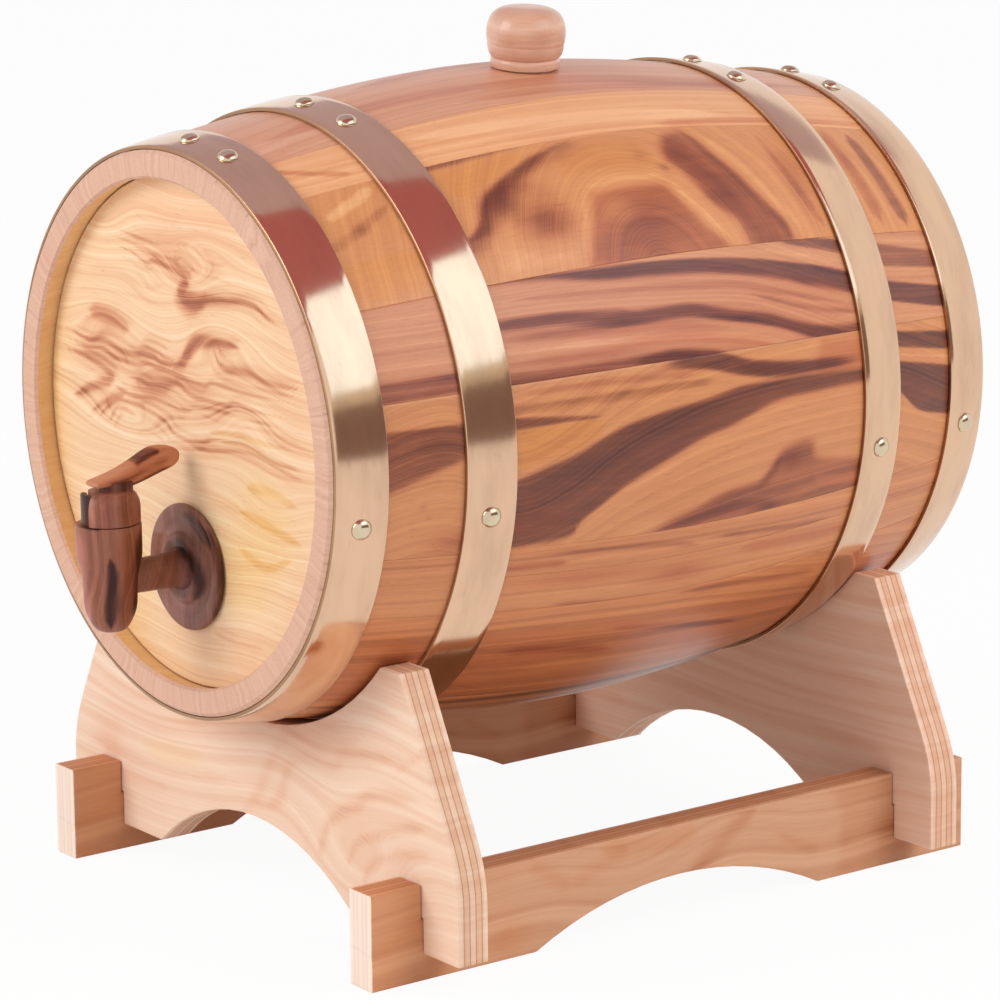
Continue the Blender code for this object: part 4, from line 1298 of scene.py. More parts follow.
FRONT_HEAD_BOARD = Board(Sweep((-90, 2, -60, -1, -30, 2, 0, -1, 30, 1, 60, -1, 90, 0)), (
    Stroke((-42, 60, -30, 58.5, -20, 57.5, -8, 58.5, 0, 59.5, 8, 58.5, 13, 56, 20, 55.5,
        27, 57.4), (0.7, 0.9, 0.6), 0.55),
    Stroke((-36, 56.6, -24, 56, -18, 54.4, -10, 53.6, -2, 54.6, 3, 53.5, 8, 51.5, 20, 51,
        36, 50.5), (0.6, 0.9, 0.7), 0.5),
    Stroke((-44, 54.6, -30, 53, -22, 51, -15, 52, -6, 50.5, 0, 49, 1, 47, -2, 44.5, 0, 42,
        4, 41, 9, 41.5, 12, 43.5, 20, 44.5, 25, 45, 33, 46, 40, 45.5, 46, 43, 50, 42, 58, 40.5),
        (0.7, 1, 1.5, 2, 1.2, 1, 0.7), 0.85, 0.1),
    Stroke((-2, 46, 2, 42.6, 6, 41.8, 11, 43.4), (1.2, 2, 1.2), 0.6, 0.2),
    Stroke((-30, 66, -20, 64, -12, 63.5, -5, 65, 0, 68), (0.6, 0.7), 0.36),
    Stroke((-24, 70, -12, 68, 0, 70), (0.5, 0.6), 0.25),
    Stroke((-58, 31, -48, 30.4, -40, 29.5, -31, 27.4), (2, 2.8, 1.6), 0.6, 0.4),
    Stroke((-26, 34.4, -13, 35.2), (1.2, 0.8), 0.35, 0.4),
    Stroke((-7, 20.6, -1, 22.5, 1, 25, 4, 28, 8, 30, 14, 31, 22, 31, 28, 31.5, 33, 31), (1, 2,
        2.2, 1.4, 0.8), 0.8, 0.4),
    Stroke((16, 29, 19, 25, 24, 23.5, 30, 24, 38, 24, 45, 23, 55, 23, 66, 24), (0.9, 1.4, 1.2,
        0.8), 0.7, 0.1),
    Stroke((-72, 23.2, -62, 21.5, -56, 21, -50, 22, -45, 22, -38, 20.5, -30, 20.3, -24, 21.3,
        -18, 21, -14, 20, -5, 20.5, 4, 21.5), (0.8, 1.1, 1, 0.7), 0.8),
    Stroke((-26, 25.3, -18, 26, -9, 24.8), (0.7, 0.9, 0.6), 0.5),
    Stroke((-72, 19.6, -60, 19, -48, 19, -42, 17.5, -34, 17, -28, 17, -22, 18.5, -10, 18, 0, 17,
        10, 16.5, 16, 18, 30, 17.5, 45, 18, 68, 19), (0.7, 0.9, 0.7), 0.6),
    Stroke((-76, 16, -62, 15.5, -55, 14.5, -48, 13, -44, 11, -46, 9, -52, 7, -58, 5, -64, 2.5,
        -70, 0.6), (0.7, 1.2, 1.8, 1.2, 0.7), 0.75, 0.1),
    Stroke((-36, 12, -28, 12.5, -20, 11.5, -12, 13, -5, 14.5, 0, 13, 5, 12, 12, 12, 22, 12,
        28, 13.5, 40, 13, 62, 13.5), (0.9, 1.1, 0.9, 0.7), 0.7),
    Stroke((-31, 11.4, -20, 11, -9, 11.8), (1.2, 1.5, 1), 0.5, 0.2),
    Stroke((-32, 9.5, -18, 10, -8, 9, 0, 7.5, 6, 9, 15, 10, 30, 9.5, 52, 10), (0.7, 0.8, 0.6),
        0.55),
    Stroke((-43, 8.6, -36, 7, -28, 7, -18, 8, -10, 7.5, -4, 6.5, 3, 7), (0.8, 0.7), 0.6),
    Stroke((-58, -2.8, -48, 2, -43, 4.5, -36, 6), (0.7, 0.9), 0.6),
    Stroke((-54, -4.4, -46, 1, -40, 4, -30, 4, -20, 3, -12, 1, -8, -1.5, 0, -2.5, 8, -2, 14, 0,
        24, 1.6), (0.8, 0.9, 0.7), 0.65),
    Stroke((-46, -5, -43, 0, -40, 1, -36, 1.5, -29, -0.2), (0.7, 0.7), 0.5),
    Stroke((-43.4, -8, -41, -2.4, -37, -1), (0.6, 0.6), 0.4),
    Stroke((-30, -6, -24, -3.4, -16, -4.6, -12, -7), (0.6, 0.6), 0.4),
    Stroke((11, 2, 20, 3, 30, 4, 40, 3.5, 60, 4), (0.9, 1.2, 0.8), 0.4, -0.6),
    Stroke((17, 0, 30, 1, 40, 0, 50, -1.5, 66, -1), (0.8, 1), 0.36, -0.6),
    Stroke((-2, -3.4, 10, -4, 20, -2.5, 30, -1, 40, -1, 55, -3.5, 68, -5), (0.8, 0.9, 0.7), 0.5),
    Stroke((6, 7, 24, 6, 44, 7.6, 68, 5.6), (0.6, 0.8), 0.34),
    Stroke((32, -12, 46, -11, 62, -14), (2.2, 1.4), 0.3, -0.5),
    Stroke((28, -20, 44, -22, 64, -25), (1.8, 1.4), 0.3, -0.5),
    Stroke((26, -31, 42, -35.4, 58, -30), (1.6, 1.2), 0.28, -0.5),
    Stroke((2, -15, 18, -19, 32, -20.6), (3, 1.4), 0.26, -0.2),
    Stroke((12, -62, 24, -62.6, 42, -61.4), (0.6, 0.6), 0.4),
    Stroke((-60, 44, -40, 46, -22, 43, -10, 45), (1.4, 1), 0.16, 0.5),
    Stroke((-66, 36, -50, 38.4, -30, 39, -12, 38), (0.7, 0.8), 0.22, 0.2),
    Stroke((30, 37, 44, 36, 60, 34), (0.9, 1), 0.24),
    Stroke((-76, 8.6, -66, 8.4, -56, 8.8), (0.7, 0.5), 0.4), Spot((-86, 0), (12, 70), 0, -0.9),
    Spot((56, -50), (30, 34), 0.05, 0.5), Spot((0, -62), (40, 16), 0.1, 0.6),
    Spot((50, -22), (20, 16), 0.06, -0.8), Spot((60, 10), (14, 40), 0.08, 0.5),
    Spot((-20, 12), (46, 16), 0.08, 0.3), Spot((4, 46), (34, 12), 0.05, 0.2),
    Spot((8, -11), (4, 4), 0.24), Spot((0, 72), (40, 16), -0.16, 0.5),
    Spot((-30, -4), (16, 8), -0.2), Spot((28, -44), (26, 16), 0.08, -0.9),
    Spot((-40, -60), (26, 20), 0, -0.9)), (
    Swell((-20, 40), (14, 6), 6), Swell((10, 60), (18, 6), -7), Swell((-30, 15), (12, 5), 5),
    Swell((32, 10), (16, 6), -6), Swell((24, -36), (16, 8), 6), Swell((-10, -50), (30, 12), 9),
    Swell((-33, -3), (24, 9), 13), Swell((-50, 30), (20, 8), -9), Swell((20, 33), (22, 9), -10),
    Swell((2, 50), (14, 8), 8), Swell((45, -18), (20, 12), 8), Swell((-45, 60), (20, 9), 7)))


def rippled(board: Board, offset: float) -> Board:
    """A board whose dark lines lie in a soft shade with fainter lines beside them.

    Args:
        board: The board with its main lines.
        offset: Distance of the fainter lines in millimetres.

    Returns:
        The fuller board.
    """
    marks: list[Stroke | Band | Patch | Spot] = []
    for mark in board.marks:
        if not isinstance(mark, Stroke) or mark.depth < 0.3 or mark.blush < 0.0:
            marks.append(mark)
            continue
        marks.append(Stroke(mark.path, mark.widths, mark.depth * 0.8, mark.blush, 0.7))
        shade_widths = tuple(width * 3.0 for width in mark.widths)
        marks.append(Stroke(mark.path, shade_widths, mark.depth * 0.12, 0.2, 1.0))
        for side, share in ((1.0, 0.46), (-1.1, 0.4)):
            path = tuple(place + side * offset for place in mark.path)
            marks.append(Stroke(path, mark.widths, mark.depth * share, 0.1, 1.0))
    return Board(board.rings, tuple(marks), board.swells, board.unit)


REAR_HEAD_BOARD = Board(Arches((14, -108), (80, 80)), (
    Stroke((-84, 30, -40, 38, 10, 34, 70, 42), (1.2, 0.9), 0.55),
    Stroke((-86, 20, -30, 26, 10, 22, 86, 30), (1, 1.6, 0.9), 0.6, 0.1),
    Stroke((-60, 56, -10, 60, 50, 58), (0.8, 1), 0.45),
    Stroke((-88, -4, -40, 4, -14, 12, 20, 2, 88, -2), (0.8, 1.2, 0.8), 0.5),
    Stroke((-84, -20, -30, -14, 10, -18, 84, -12), (1.2, 1.6, 1), 0.5, 0.1),
    Stroke((-70, -44, -20, -38, 30, -46, 70, -40), (0.9, 1.1), 0.45)), (
    Swell((-20, 12), (26, 12), 14), Swell((34, -30), (22, 10), -9)))


@dataclass
class Head:
    """One end board of the barrel."""

    name: str
    node: str
    side: int
    board: Board
    edge: float = 0.0006
    pitch: float = 0.0008
    steps: int = 480

    def build(self) -> Piece:
        """Make, dress and fit the head.

        Returns:
            The piece.
        """
        face = CASK.head_face
        rim = CASK.radius(face) - CASK.wall - CASK.fit_gap
        rows = [(0.0, face)]
        rows += [(float(r), face) for r in np.arange(self.pitch, rim - self.edge, self.pitch)]
        back = self.edge * ROUNDING
        rows += [(rim - self.edge, face), (rim - back, face - back),
                 (rim, face - self.edge), (rim, face - CASK.head_thickness),
                 (0.0, face - CASK.head_thickness)]
        angles = np.linspace(0.0, math.tau, self.steps, endpoint=False)
        rings = np.array([[CASK.place(radius, angle, height * self.side) for angle in angles]
                          for radius, height in rows])
        piece = linked(self.name, from_rings(self.name, rings, caps=True))
        points = points_of(piece.data)
        grain = np.stack([points[:, 0] * self.side, points[:, 2] - CASK.axis_height,
                          points[:, 1]], 1)
        self.board.paint(piece.data, grain)
        piece.data.materials.append(material_of(HEAD_WOOD))
        smooth(piece, 40.0)
        return fit(piece, Body.BARREL, self.node, self.node)


@dataclass
class Hoops:
    """The four brass hoops and the domed nails that hold them."""

    width: float = 0.0170
    thickness: float = 0.0011
    crown: float = 0.00018
    edge: float = 0.0003
    end_inset: float = 0.0010
    quarter_share: float = 0.599
    steps: int = 256
    nail_angles: tuple[tuple[str, float], ...] = (
        ("lap_left", 89.0), ("lap_right", 75.5), ("right", -9.3), ("left", 189.3))
    nail_radius: float = 0.0033
    nail_height: float = 0.0018

    def places(self) -> dict[str, float]:
        """Where the hoops sit.

        Returns:
            Height of each hoop's middle along the barrel.
        """
        end = CASK.length / 2 - self.end_inset - self.width / 2
        quarter = CASK.length / 2 * self.quarter_share
        return {"front_end": end, "front_quarter": quarter, "rear_quarter": -quarter,
                "rear_end": -end}

    def build(self) -> list[Piece]:
        """Make all hoops with their nails.

        Returns:
            The pieces.
        """
        pieces = []
        for label, height in self.places().items():
            pieces.append(self.hoop(label, height))
            for side, degrees in self.nail_angles:
                pieces.append(self.nail(f"{label}_{side}", height, math.radians(degrees)))
        return pieces

    def hoop(self, label: str, height: float) -> Piece:
        """Make one hoop.

        Args:
            label: Which hoop it is.
            height: Its middle's height along the barrel.

        Returns:
            The piece.
        """
        half = self.width / 2
        soft = self.edge
        back = soft * ROUNDING
        top = CASK.radius(height + half) + CASK.fit_gap
        foot = CASK.radius(height - half) + CASK.fit_gap
        outline = [(half, 0.0), (half, self.thickness - soft),
                   (half - back, self.thickness - back)]
        for share in np.linspace(1.0, -1.0, 9):
            outline.append((share * (half - soft),
                            self.thickness + self.crown * (1 - share ** 2)))
        outline += [(-half + back, self.thickness - back), (-half, self.thickness - soft),
                    (-half, 0.0)]
        angles = np.linspace(0.0, math.tau, self.steps, endpoint=False)
        rings = []
        for angle in angles:
            rings.append([CASK.place(foot + (top - foot) * (lift + half) / self.width + rise,
                                     angle, height + lift) for lift, rise in outline])
        name = f"hoop_band_{label}"
        piece = linked(name, from_rings(name, np.array(rings), caps=False))
        points = points_of(piece.data)
        angle = np.arctan2(points[:, 2] - CASK.axis_height, points[:, 0])
        radius = np.hypot(points[:, 2] - CASK.axis_height, points[:, 0])
        swing = np.stack([np.cos(angle) * 0.03, points[:, 1], radius + np.sin(angle) * 0.03], 1)
        store(piece.data, "grain", swing)
        piece.data.materials.append(material_of(HOOP_BRASS))
        piece.data.materials.append(material_of(SHADED_HOOP_EDGE))
        # Faces that look along the barrel are the hoops' side edges, which take the darker brass:
        # painted shade.
        for face in piece.data.polygons:
            if abs(face.normal.y) > 0.6:
                face.material_index = 1
        smooth(piece, 50.0)
        return fit(piece, Body.BARREL, f"hoop_{label}", f"hoop_{label}")

    def nail(self, label: str, height: float, angle: float) -> Piece:
        """Make one domed nail head standing square on its hoop.

        Args:
            label: Which hoop and which side.
            height: The hoop's middle along the barrel.
            angle: Angle round the barrel in radians.

        Returns:
            The piece.
        """
        radius, rise = self.nail_radius, self.nail_height
        dome = [(0.0, rise), (radius * 0.3, rise * 0.955), (radius * 0.58, rise * 0.82),
                (radius * 0.78, rise * 0.6), (radius * 0.9, rise * 0.36), (radius, rise * 0.14),
                (radius, 0.0), (radius * 0.27, 0.0), (radius * 0.27, -0.0030), (0.0, -0.0040)]
        name = f"nail_dome_{label}"
        piece = linked(name, turned(name, dome, 32))
        half = self.width / 2
        slope = (CASK.radius(height + half) - CASK.radius(height - half)) / self.width
        normal = Vector((math.cos(angle), slope, math.sin(angle))).normalized()
        seat = ((CASK.radius(height + half) + CASK.radius(height - half)) / 2
                + CASK.fit_gap + self.thickness + self.crown)
        spot = Vector(CASK.place(seat, angle, height))
        stand = Matrix.Translation(spot) @ normal.to_track_quat("Z", "Y").to_matrix().to_4x4()
        piece.data.transform(stand)
        store(piece.data, "grain", points_of(piece.data))
        piece.data.materials.append(material_of(NAIL_BRASS))
        smooth(piece, 60.0)
        return fit(piece, Body.BARREL, f"nail_{label}", f"nail_{label}")


def facing(points: Array) -> tuple[Array, Array]:
    """Turn points about Z until X runs across the side in view.

    Args:
        points: The points, one per row.

    Returns:
        Their places across that side and into it.
    """
    turn = math.radians(VIEW_TURN)
    return (points[:, 0] * math.cos(turn) + points[:, 1] * math.sin(turn),
            points[:, 1] * math.cos(turn) - points[:, 0] * math.sin(turn))


BUNG_BOARD = Board(Sweep((-90, 270, 90, 271)), (
    # The dark lines 0.6, 3.1 and 8 mm up are painted shade: the contact shadow at the foot and
    # the shade in the two grooves. The pale spot on the left is painted light, the dark spot at
    # the right edge painted shade.
    Stroke((-20, 3.1, 20, 3.1), (0.7, 0.7), 0.8), SoftLine((-20, 0.6, 20, 0.6), (1.5, 1.5), 0.9),
    Stroke((-20, 6, 20, 6), (0.9, 0.9), -0.3), Stroke((-20, 8, 20, 8), (0.7, 0.7), 0.2, 0.3),
    Spot((-11, 9), (5, 10), -0.6, 0.3), Spot((4.5, 11), (4, 7), 0.16, 0.3),
    Spot((12, 8), (3, 10), 0.3)))


@dataclass
class Bung:
    """The turned knob, which stands square on the top stave and so leans a little."""

    offset: float = 0.0038
    degrees: float = 85.7
    plug_radius: float = 0.0096
    tip_radius: float = 0.0086
    tip_reach: float = 0.0050
    tip_edge: float = 0.0008
    steps: int = 96
    knob: tuple[Point, ...] = (
        (0.0, 19.40), (3.0, 19.38), (5.4, 19.20), (8.4, 18.60), (10.9, 17.00), (12.3, 14.40),
        (12.79, 11.20), (12.66, 8.80), (12.44, 7.90), (12.34, 7.50), (12.36, 6.90),
        (12.20, 5.80), (11.70, 4.20), (11.20, 3.55))
    foot: tuple[Point, ...] = (
        (10.75, 3.10), (11.10, 2.70), (11.15, 1.60), (11.18, 0.40), (11.05, 0.0))

    @property
    def stand(self) -> Matrix:
        """Where the bung stands.

        Returns:
            The move that sets it on the barrel's wall, with Z out along its own axis.
        """
        angle = math.radians(self.degrees)
        spot = Vector(CASK.place(CASK.radius(self.offset) + CASK.fit_gap, angle, -self.offset))
        return Matrix.Translation(spot) @ Matrix.Rotation(math.pi / 2 - angle, 4, "Y")

    def build(self) -> Piece:
        """Make, dress and fit the bung.

        Returns:
            The piece.
        """
        depth = CASK.wall + self.tip_reach
        soft = self.tip_edge
        profile = softened([(r * MM, h * MM) for r, h in self.knob], 3)
        profile += [(r * MM, h * MM) for r, h in self.foot]
        profile += [(self.plug_radius, 0.0), (self.tip_radius, soft - depth),
                    (self.tip_radius - soft, -depth), (0.0, -depth)]
        piece = linked("bung_knob", turned("bung_knob", profile, self.steps))
        points = points_of(piece.data)
        side, deep = facing(points)
        BUNG_BOARD.paint(piece.data, np.stack([side, points[:, 2], deep], 1))
        piece.data.transform(self.stand)
        piece.data.materials.append(material_of(BUNG_WOOD))
        smooth(piece, 40.0)
        return fit(piece, Body.BUNG, "bung", "bung")


TAP_RINGS = Sweep(((-40, 0.4), (-10, -1.6), (0, 0.6), (10, 1.8), (40, -1)))
BODY_BOARD = Board(TAP_RINGS, (
    SoftLine((-14, -6.2, 0, -8, 18, -8.8), (1.8, 2.4), -0.5, 0.8),
    SoftLine((-15, -2.4, -6, -3.4, 5, -3), (1.8, 2.4, 1.6), -0.05, -0.3),
    SoftLine((-15, 0.2, -6, 0.9, 3, 1.6, 10, 1), (1.4, 2, 1.6, 0.8), 0.85, 0.7),
    SoftLine((-14, 5.2, 0, 6.4, 18, 7.2), (2.4, 3.4), 0.24, -0.9),
    SoftLine((-14, 7.4, 0, 9, 18, 10.1), (1, 1.2), 0.6, -0.2),
    SoftLine((17.4, -11, 17.4, 6), (0.9, 0.9), -0.35, 0.5),
    # Dark olive over the stop lug: painted shade.
    Patch((18.9, -13, 18.9, -1, 30, -1, 30, -13), 0.75, -0.4, 0.5)))
COLLAR_BOARD = Board(TAP_RINGS, (
    # The pale spot on the left is painted light; the dark spot and the dark line down the right
    # side are painted shade.
    Spot((23, -4.6), (6, 2.6), -0.5, 0.2), Spot((23, 1), (6, 3), 0.12, 0.8),
    Spot((23, 6), (6, 3), 0.3, -0.8), SoftLine((18, 10, 28, 9), (1, 1), 0.7, 0.2),
    SoftLine((28, -6, 28.2, 9), (1, 1), 0.6),
    Patch((29.3, -8, 29.3, 10, 32, 10, 32, -8), 0.5, 0.2, 0.6)))
FLANGE_BOARD = Board(TAP_RINGS, (
    # The dark crescent beside the boss and the dark spot at its upper end, where the shank meets
    # the flange, are painted shadow.
    SoftLine((9.3, 19.4, 3.3, 25.2, -3.3, 27.2, -10.5, 24.8), (1.2, 2.2, 2.2, 1.2), 0.8),
    Spot((8.4, 20.8), (4, 2.6), 0.6), Spot((6, 15), (10, 4.5), -0.6, 0.4),
    Spot((-14, 20), (6, 8), -0.4, 0.5), Spot((-4, 22.4), (6, 2.4), -0.35, 0.6),
    # The dark brown-orange curve near the right rim is painted shade.
    SoftLine((17, 27, 9, 32.4, 0, 34.6, -8, 34, -15, 30.6), (1.4, 1.8, 1.4), 0.6, -0.7),
    SoftLine((18, 22, 14.6, 27, 10, 30.4), (1.6, 2.4), 0.55, -0.3),
    Patch((-7, 8, -7, 19.4, 7, 19.4, 7, 8), 0.25, -0.9, 0.8),
    SoftLine((4.8, 9, 5.2, 20), (1.4, 1.6), 0.6), SoftLine((-5.2, 9, -5.6, 18), (1, 1), 0.4)))
LEVER_BOARD = Board(Sweep((-10, 12, 0, 13, 10, 15, 20, 18, 28, 20)), (
    SoftLine((8, 16.6, 11, 18.8, 14.4, 20.2, 17.4, 20.9), (0.9, 1.2, 0.9), 0.75, 0.1),
    SoftLine((-4, 12, 7, 11.1, 14, 13, 22.6, 15.6), (1.2, 1.3, 1.2), 0.8),
    SoftLine((-4, 13, 6, 14, 14, 17, 22, 18.6), (0.7, 0.8), 0.4, 0.2),
    SoftLine((2, 12.9, 11, 14.8, 20, 17.2), (0.7, 0.8), 0.3, 0.3),
    SoftLine((3, 14.6, 10, 16.6, 17, 19.2), (0.8, 1), -0.4, 0.4),
    SoftLine((17, 21.6, 22, 21.2), (1, 1), -0.4, 0.2)))


@dataclass
class Tap:
    """The wooden tap: body with stop lug, shank and flange, and the key with its lever.

    The profiles list radius and height in millimetres, and heights count from the shank's
    axis. The lever's upper and lower lines list place and height along it.
    """

    drop: float = 0.0429
    reach: float = 0.0297
    body_rise: float = 0.0185
    lug_outer: float = 0.0084
    lug_inner: float = 0.0063
    lug_height: float = 0.0096
    lug_degrees: float = -98.0
    lug_span: float = 58.0
    lug_root: float = 0.002
    relief_radius: float = 0.0140
    relief_height: float = 0.0123
    stop_slack: float = 1.0
    flange_radius: float = 0.0202
    flange_thickness: float = 0.0031
    boss_radius: float = 0.0107
    boss_height: float = 0.0021
    shank_radius: float = 0.00545
    neck_offset: float = 0.0032
    lever_width: float = 0.0072
    lever_tip: float = 0.0036
    lever_roundness: float = 0.45
    lever_points: int = 28
    steps: int = 96
    body_side: tuple[Point, ...] = (
        (10.28, 17.6), (10.29, 12.0), (10.20, 8.6), (9.80, 6.2), (9.05, 3.4), (8.66, 0.6),
        (8.44, -3.0), (8.30, -6.8), (7.80, -9.6), (6.95, -11.8), (5.90, -13.8), (4.70, -15.2))
    spout: tuple[Point, ...] = (
        (4.20, -15.55), (3.80, -15.69), (2.50, -15.69), (2.30, -15.40), (2.30, -7.7), (0.0, -7.7))
    collar: tuple[Point, ...] = (
        (0.0, 28.8), (6.4, 28.7), (8.0, 28.3), (9.0, 27.4), (9.7, 25.9), (10.06, 24.2),
        (10.09, 22.6))
    plug: tuple[Point, ...] = ((10.09, 19.2), (9.9, 18.81), (5.6, 18.8), (4.2, -4.4), (0.0, -4.4))
    neck: tuple[Point, ...] = ((0.0, 31.4), (5.2, 31.3), (5.25, 29.4), (5.3, 24.0), (0.0, 24.0))
    lever_top: tuple[Point, ...] = (
        (-6.0, 12.9), (-5.6, 13.4), (-4.8, 13.8), (-2.4, 14.4), (1.5, 15.4), (5.5, 16.8),
        (10.0, 18.7), (13.0, 20.2), (15.5, 21.2), (17.3, 21.6), (19.8, 21.6), (22.3, 21.2),
        (23.8, 20.6), (24.8, 19.6), (25.3, 18.3))
    lever_foot: tuple[Point, ...] = (
        (-6.0, 12.5), (-5.6, 12.1), (-4.8, 11.8), (-2.4, 11.6), (1.5, 11.3), (5.5, 10.9),
        (8.2, 10.9), (13.2, 12.2), (18.0, 13.6), (21.6, 14.7), (23.6, 15.6), (24.8, 16.8),
        (25.3, 18.1))

    @property
    def axis(self) -> Vector:
        """Where the key's axis stands, at the height of the shank."""
        return Vector((0.0, CASK.setback - CASK.head_face - self.reach,
                       CASK.axis_height - self.drop))

    def build(self) -> list[Piece]:
        """Make all pieces of the tap."""
        return [self.body(), self.flange(), self.key(), self.lever()]

    def ring_sector(self, name: str, radii: Point, heights: Point, start: float,
                    end: float) -> Piece:
        """Part of a ring about the key's axis.

        Args:
            name: The piece's name.
            radii: Inner and outer radius.
            heights: Lower and upper height.
            start: First angle in degrees.
            end: Last angle in degrees.

        Returns:
            The closed piece.
        """
        (inner, outer), (low, high) = radii, heights
        soft = (outer - inner) * 0.2
        section = ((inner, low), (outer, low), (outer, high - soft), (outer - soft, high),
                   (inner + soft, high), (inner, high - soft))
        rings = [[(radius * math.cos(angle), radius * math.sin(angle), height)
                  for radius, height in section]
                 for angle in np.radians(np.linspace(start, end, round(abs(end - start) / 3)))]
        return linked(name, from_rings(name, np.array(rings), caps=True))

    def stand_up(self, piece: Piece, wood: Wood, board: Board) -> None:
        """Move a piece modelled about the origin to the tap, and give it grain and finish.

        Args:
            piece: The piece, modelled with the key's axis on Z.
            wood: Its finish.
            board: Its figure, which runs up and down.
        """
        local = points_of(piece.data)
        side, deep = facing(local)
        board.paint(piece.data, np.stack([local[:, 2], side, deep], 1))
        piece.data.transform(Matrix.Translation(self.axis))
        piece.data.materials.append(material_of(wood))
        smooth(piece, 36.0)

    def body(self) -> Piece:
        """Make the upright body with its stop lug and spout.

        Returns:
            The piece.
        """
        top = self.body_rise / MM
        brim = ((0.0, top), (9.9, top), (10.18, top - 0.12), (10.28, top - 0.4))
        outline = [*brim, *smooth_path(self.body_side, 3).tolist(), *self.spout]
        profile = [(r * MM, h * MM) for r, h in outline]
        piece = linked("tap_barrel", turned("tap_barrel", profile, self.steps))
        lug = self.ring_sector("tap_lug", (self.lug_inner, self.lug_outer),
                               (self.body_rise - self.lug_root,
                                self.body_rise + self.lug_height),
                               self.lug_degrees - self.lug_span / 2,
                               self.lug_degrees + self.lug_span / 2)
        carve(piece, lug, "UNION")
        self.stand_up(piece, TAP_WOOD, BODY_BOARD)
        return fit(piece, Body.BARREL, "tap_body", "tap_body")

    def flange(self) -> Piece:
        """Make the dished flange with its shank, lying along the barrel's axis.

        Returns:
            The piece.
        """
        face = self.flange_thickness
        boss = self.boss_radius
        rim = self.flange_radius
        profile = [(0.0, self.reach - 0.004), (self.shank_radius * 0.96, self.reach - 0.004),
                   *softened([(self.shank_radius, 0.016), (self.shank_radius * 1.03, 0.009),
                              (self.shank_radius * 1.1, face + self.boss_height * 0.6),
                              (self.shank_radius * 1.3, face + self.boss_height * 0.75),
                              (boss - 0.0016, face + self.boss_height),
                              (boss, face + self.boss_height * 0.6),
                              (boss + 0.0012, face - 0.0004), (boss + 0.0034, face - 0.0009),
                              (rim - 0.0040, face - 0.0002), (rim - 0.0012, face - 0.0002)], 4),
                   (rim - 0.0003, face - 0.0008), (rim, face - 0.0016), (rim, 0.0010),
                   (rim - 0.0006, 0.0003), (0.0, 0.0003)]
        piece = linked("tap_flange", turned("tap_flange", profile, self.steps))
        piece.data.transform(Matrix.Translation((0.0, self.reach, 0.0))
                             @ Matrix.Rotation(math.pi / 2, 4, "X"))
        self.stand_up(piece, FLANGE_WOOD, FLANGE_BOARD)
        return fit(piece, Body.BARREL, "tap_body", "tap_body")

    def key(self) -> Piece:
        """Make the key's broad collar with its neck, relieved where the stop lug runs.

        Returns:
            The piece.
        """
        outline = [*smooth_path(self.collar, 3).tolist(), *self.plug]
        profile = [(abs(r) * MM, h * MM) for r, h in outline]
        piece = linked("key_collar", turned("key_collar", profile, self.steps))
        neck = linked("key_neck", turned("key_neck", [(r * MM, h * MM) for r, h in self.neck],
                                         self.steps))
        neck.location.y = self.neck_offset
        carve(piece, neck, "UNION")
        half = self.lug_span / 2 + self.stop_slack
        relief = self.ring_sector("key_relief",
                                  (self.lug_inner - CASK.fit_gap, self.relief_radius),
                                  (self.body_rise - self.lug_root,
                                   self.body_rise + self.relief_height),
                                  self.lug_degrees - half - 90.0, self.lug_degrees + half)
        carve(piece, relief, "DIFFERENCE")
        self.stand_up(piece, TAP_WOOD, COLLAR_BOARD)
        return fit(piece, Body.KEY, "tap_key", "tap_key")

    def lever(self) -> Piece:
        """Make the lever: a thin heel that deepens past the neck to a round thumb piece.

        Returns:
            The piece.
        """
        top = smooth_path(self.lever_top, 4) * MM
        foot = smooth_path(self.lever_foot, 4) * MM
        reach = float(top[-1, 0])
        rings = []
        for place in top[:, 0]:
            high = float(np.interp(place, top[:, 0], top[:, 1])) + self.body_rise
            low = float(np.interp(place, foot[:, 0], foot[:, 1])) + self.body_rise
            end = max(0.0, 1.0 - (reach - place) / self.lever_tip)
            wide = self.lever_width / 2 * (0.45 + 0.55 * math.sqrt(1.0 - end * end))
            heel = min(1.0, 0.8 + (place - float(top[0, 0])) / self.lever_tip)
            ring = []
            for angle in np.linspace(0.0, math.tau, self.lever_points, endpoint=False):
                x, z = (math.copysign(abs(side) ** self.lever_roundness, side)
                        for side in (math.cos(angle), math.sin(angle)))
                ring.append((wide * heel * x, place, (high + low) / 2 + (high - low) / 2 * z))
            rings.append(ring)
        piece = linked("key_lever", from_rings("key_lever", np.array(rings), caps=True))
        local = points_of(piece.data)
        drop = np.array([0.0, 0.0, self.body_rise])
        LEVER_BOARD.paint(piece.data, (local - drop)[:, (1, 2, 0)])
        piece.data.transform(Matrix.Translation(self.axis))
        piece.data.materials.append(material_of(LEVER_WOOD))
        smooth(piece, 36.0)
        return fit(piece, Body.KEY, "tap_key", "tap_key")


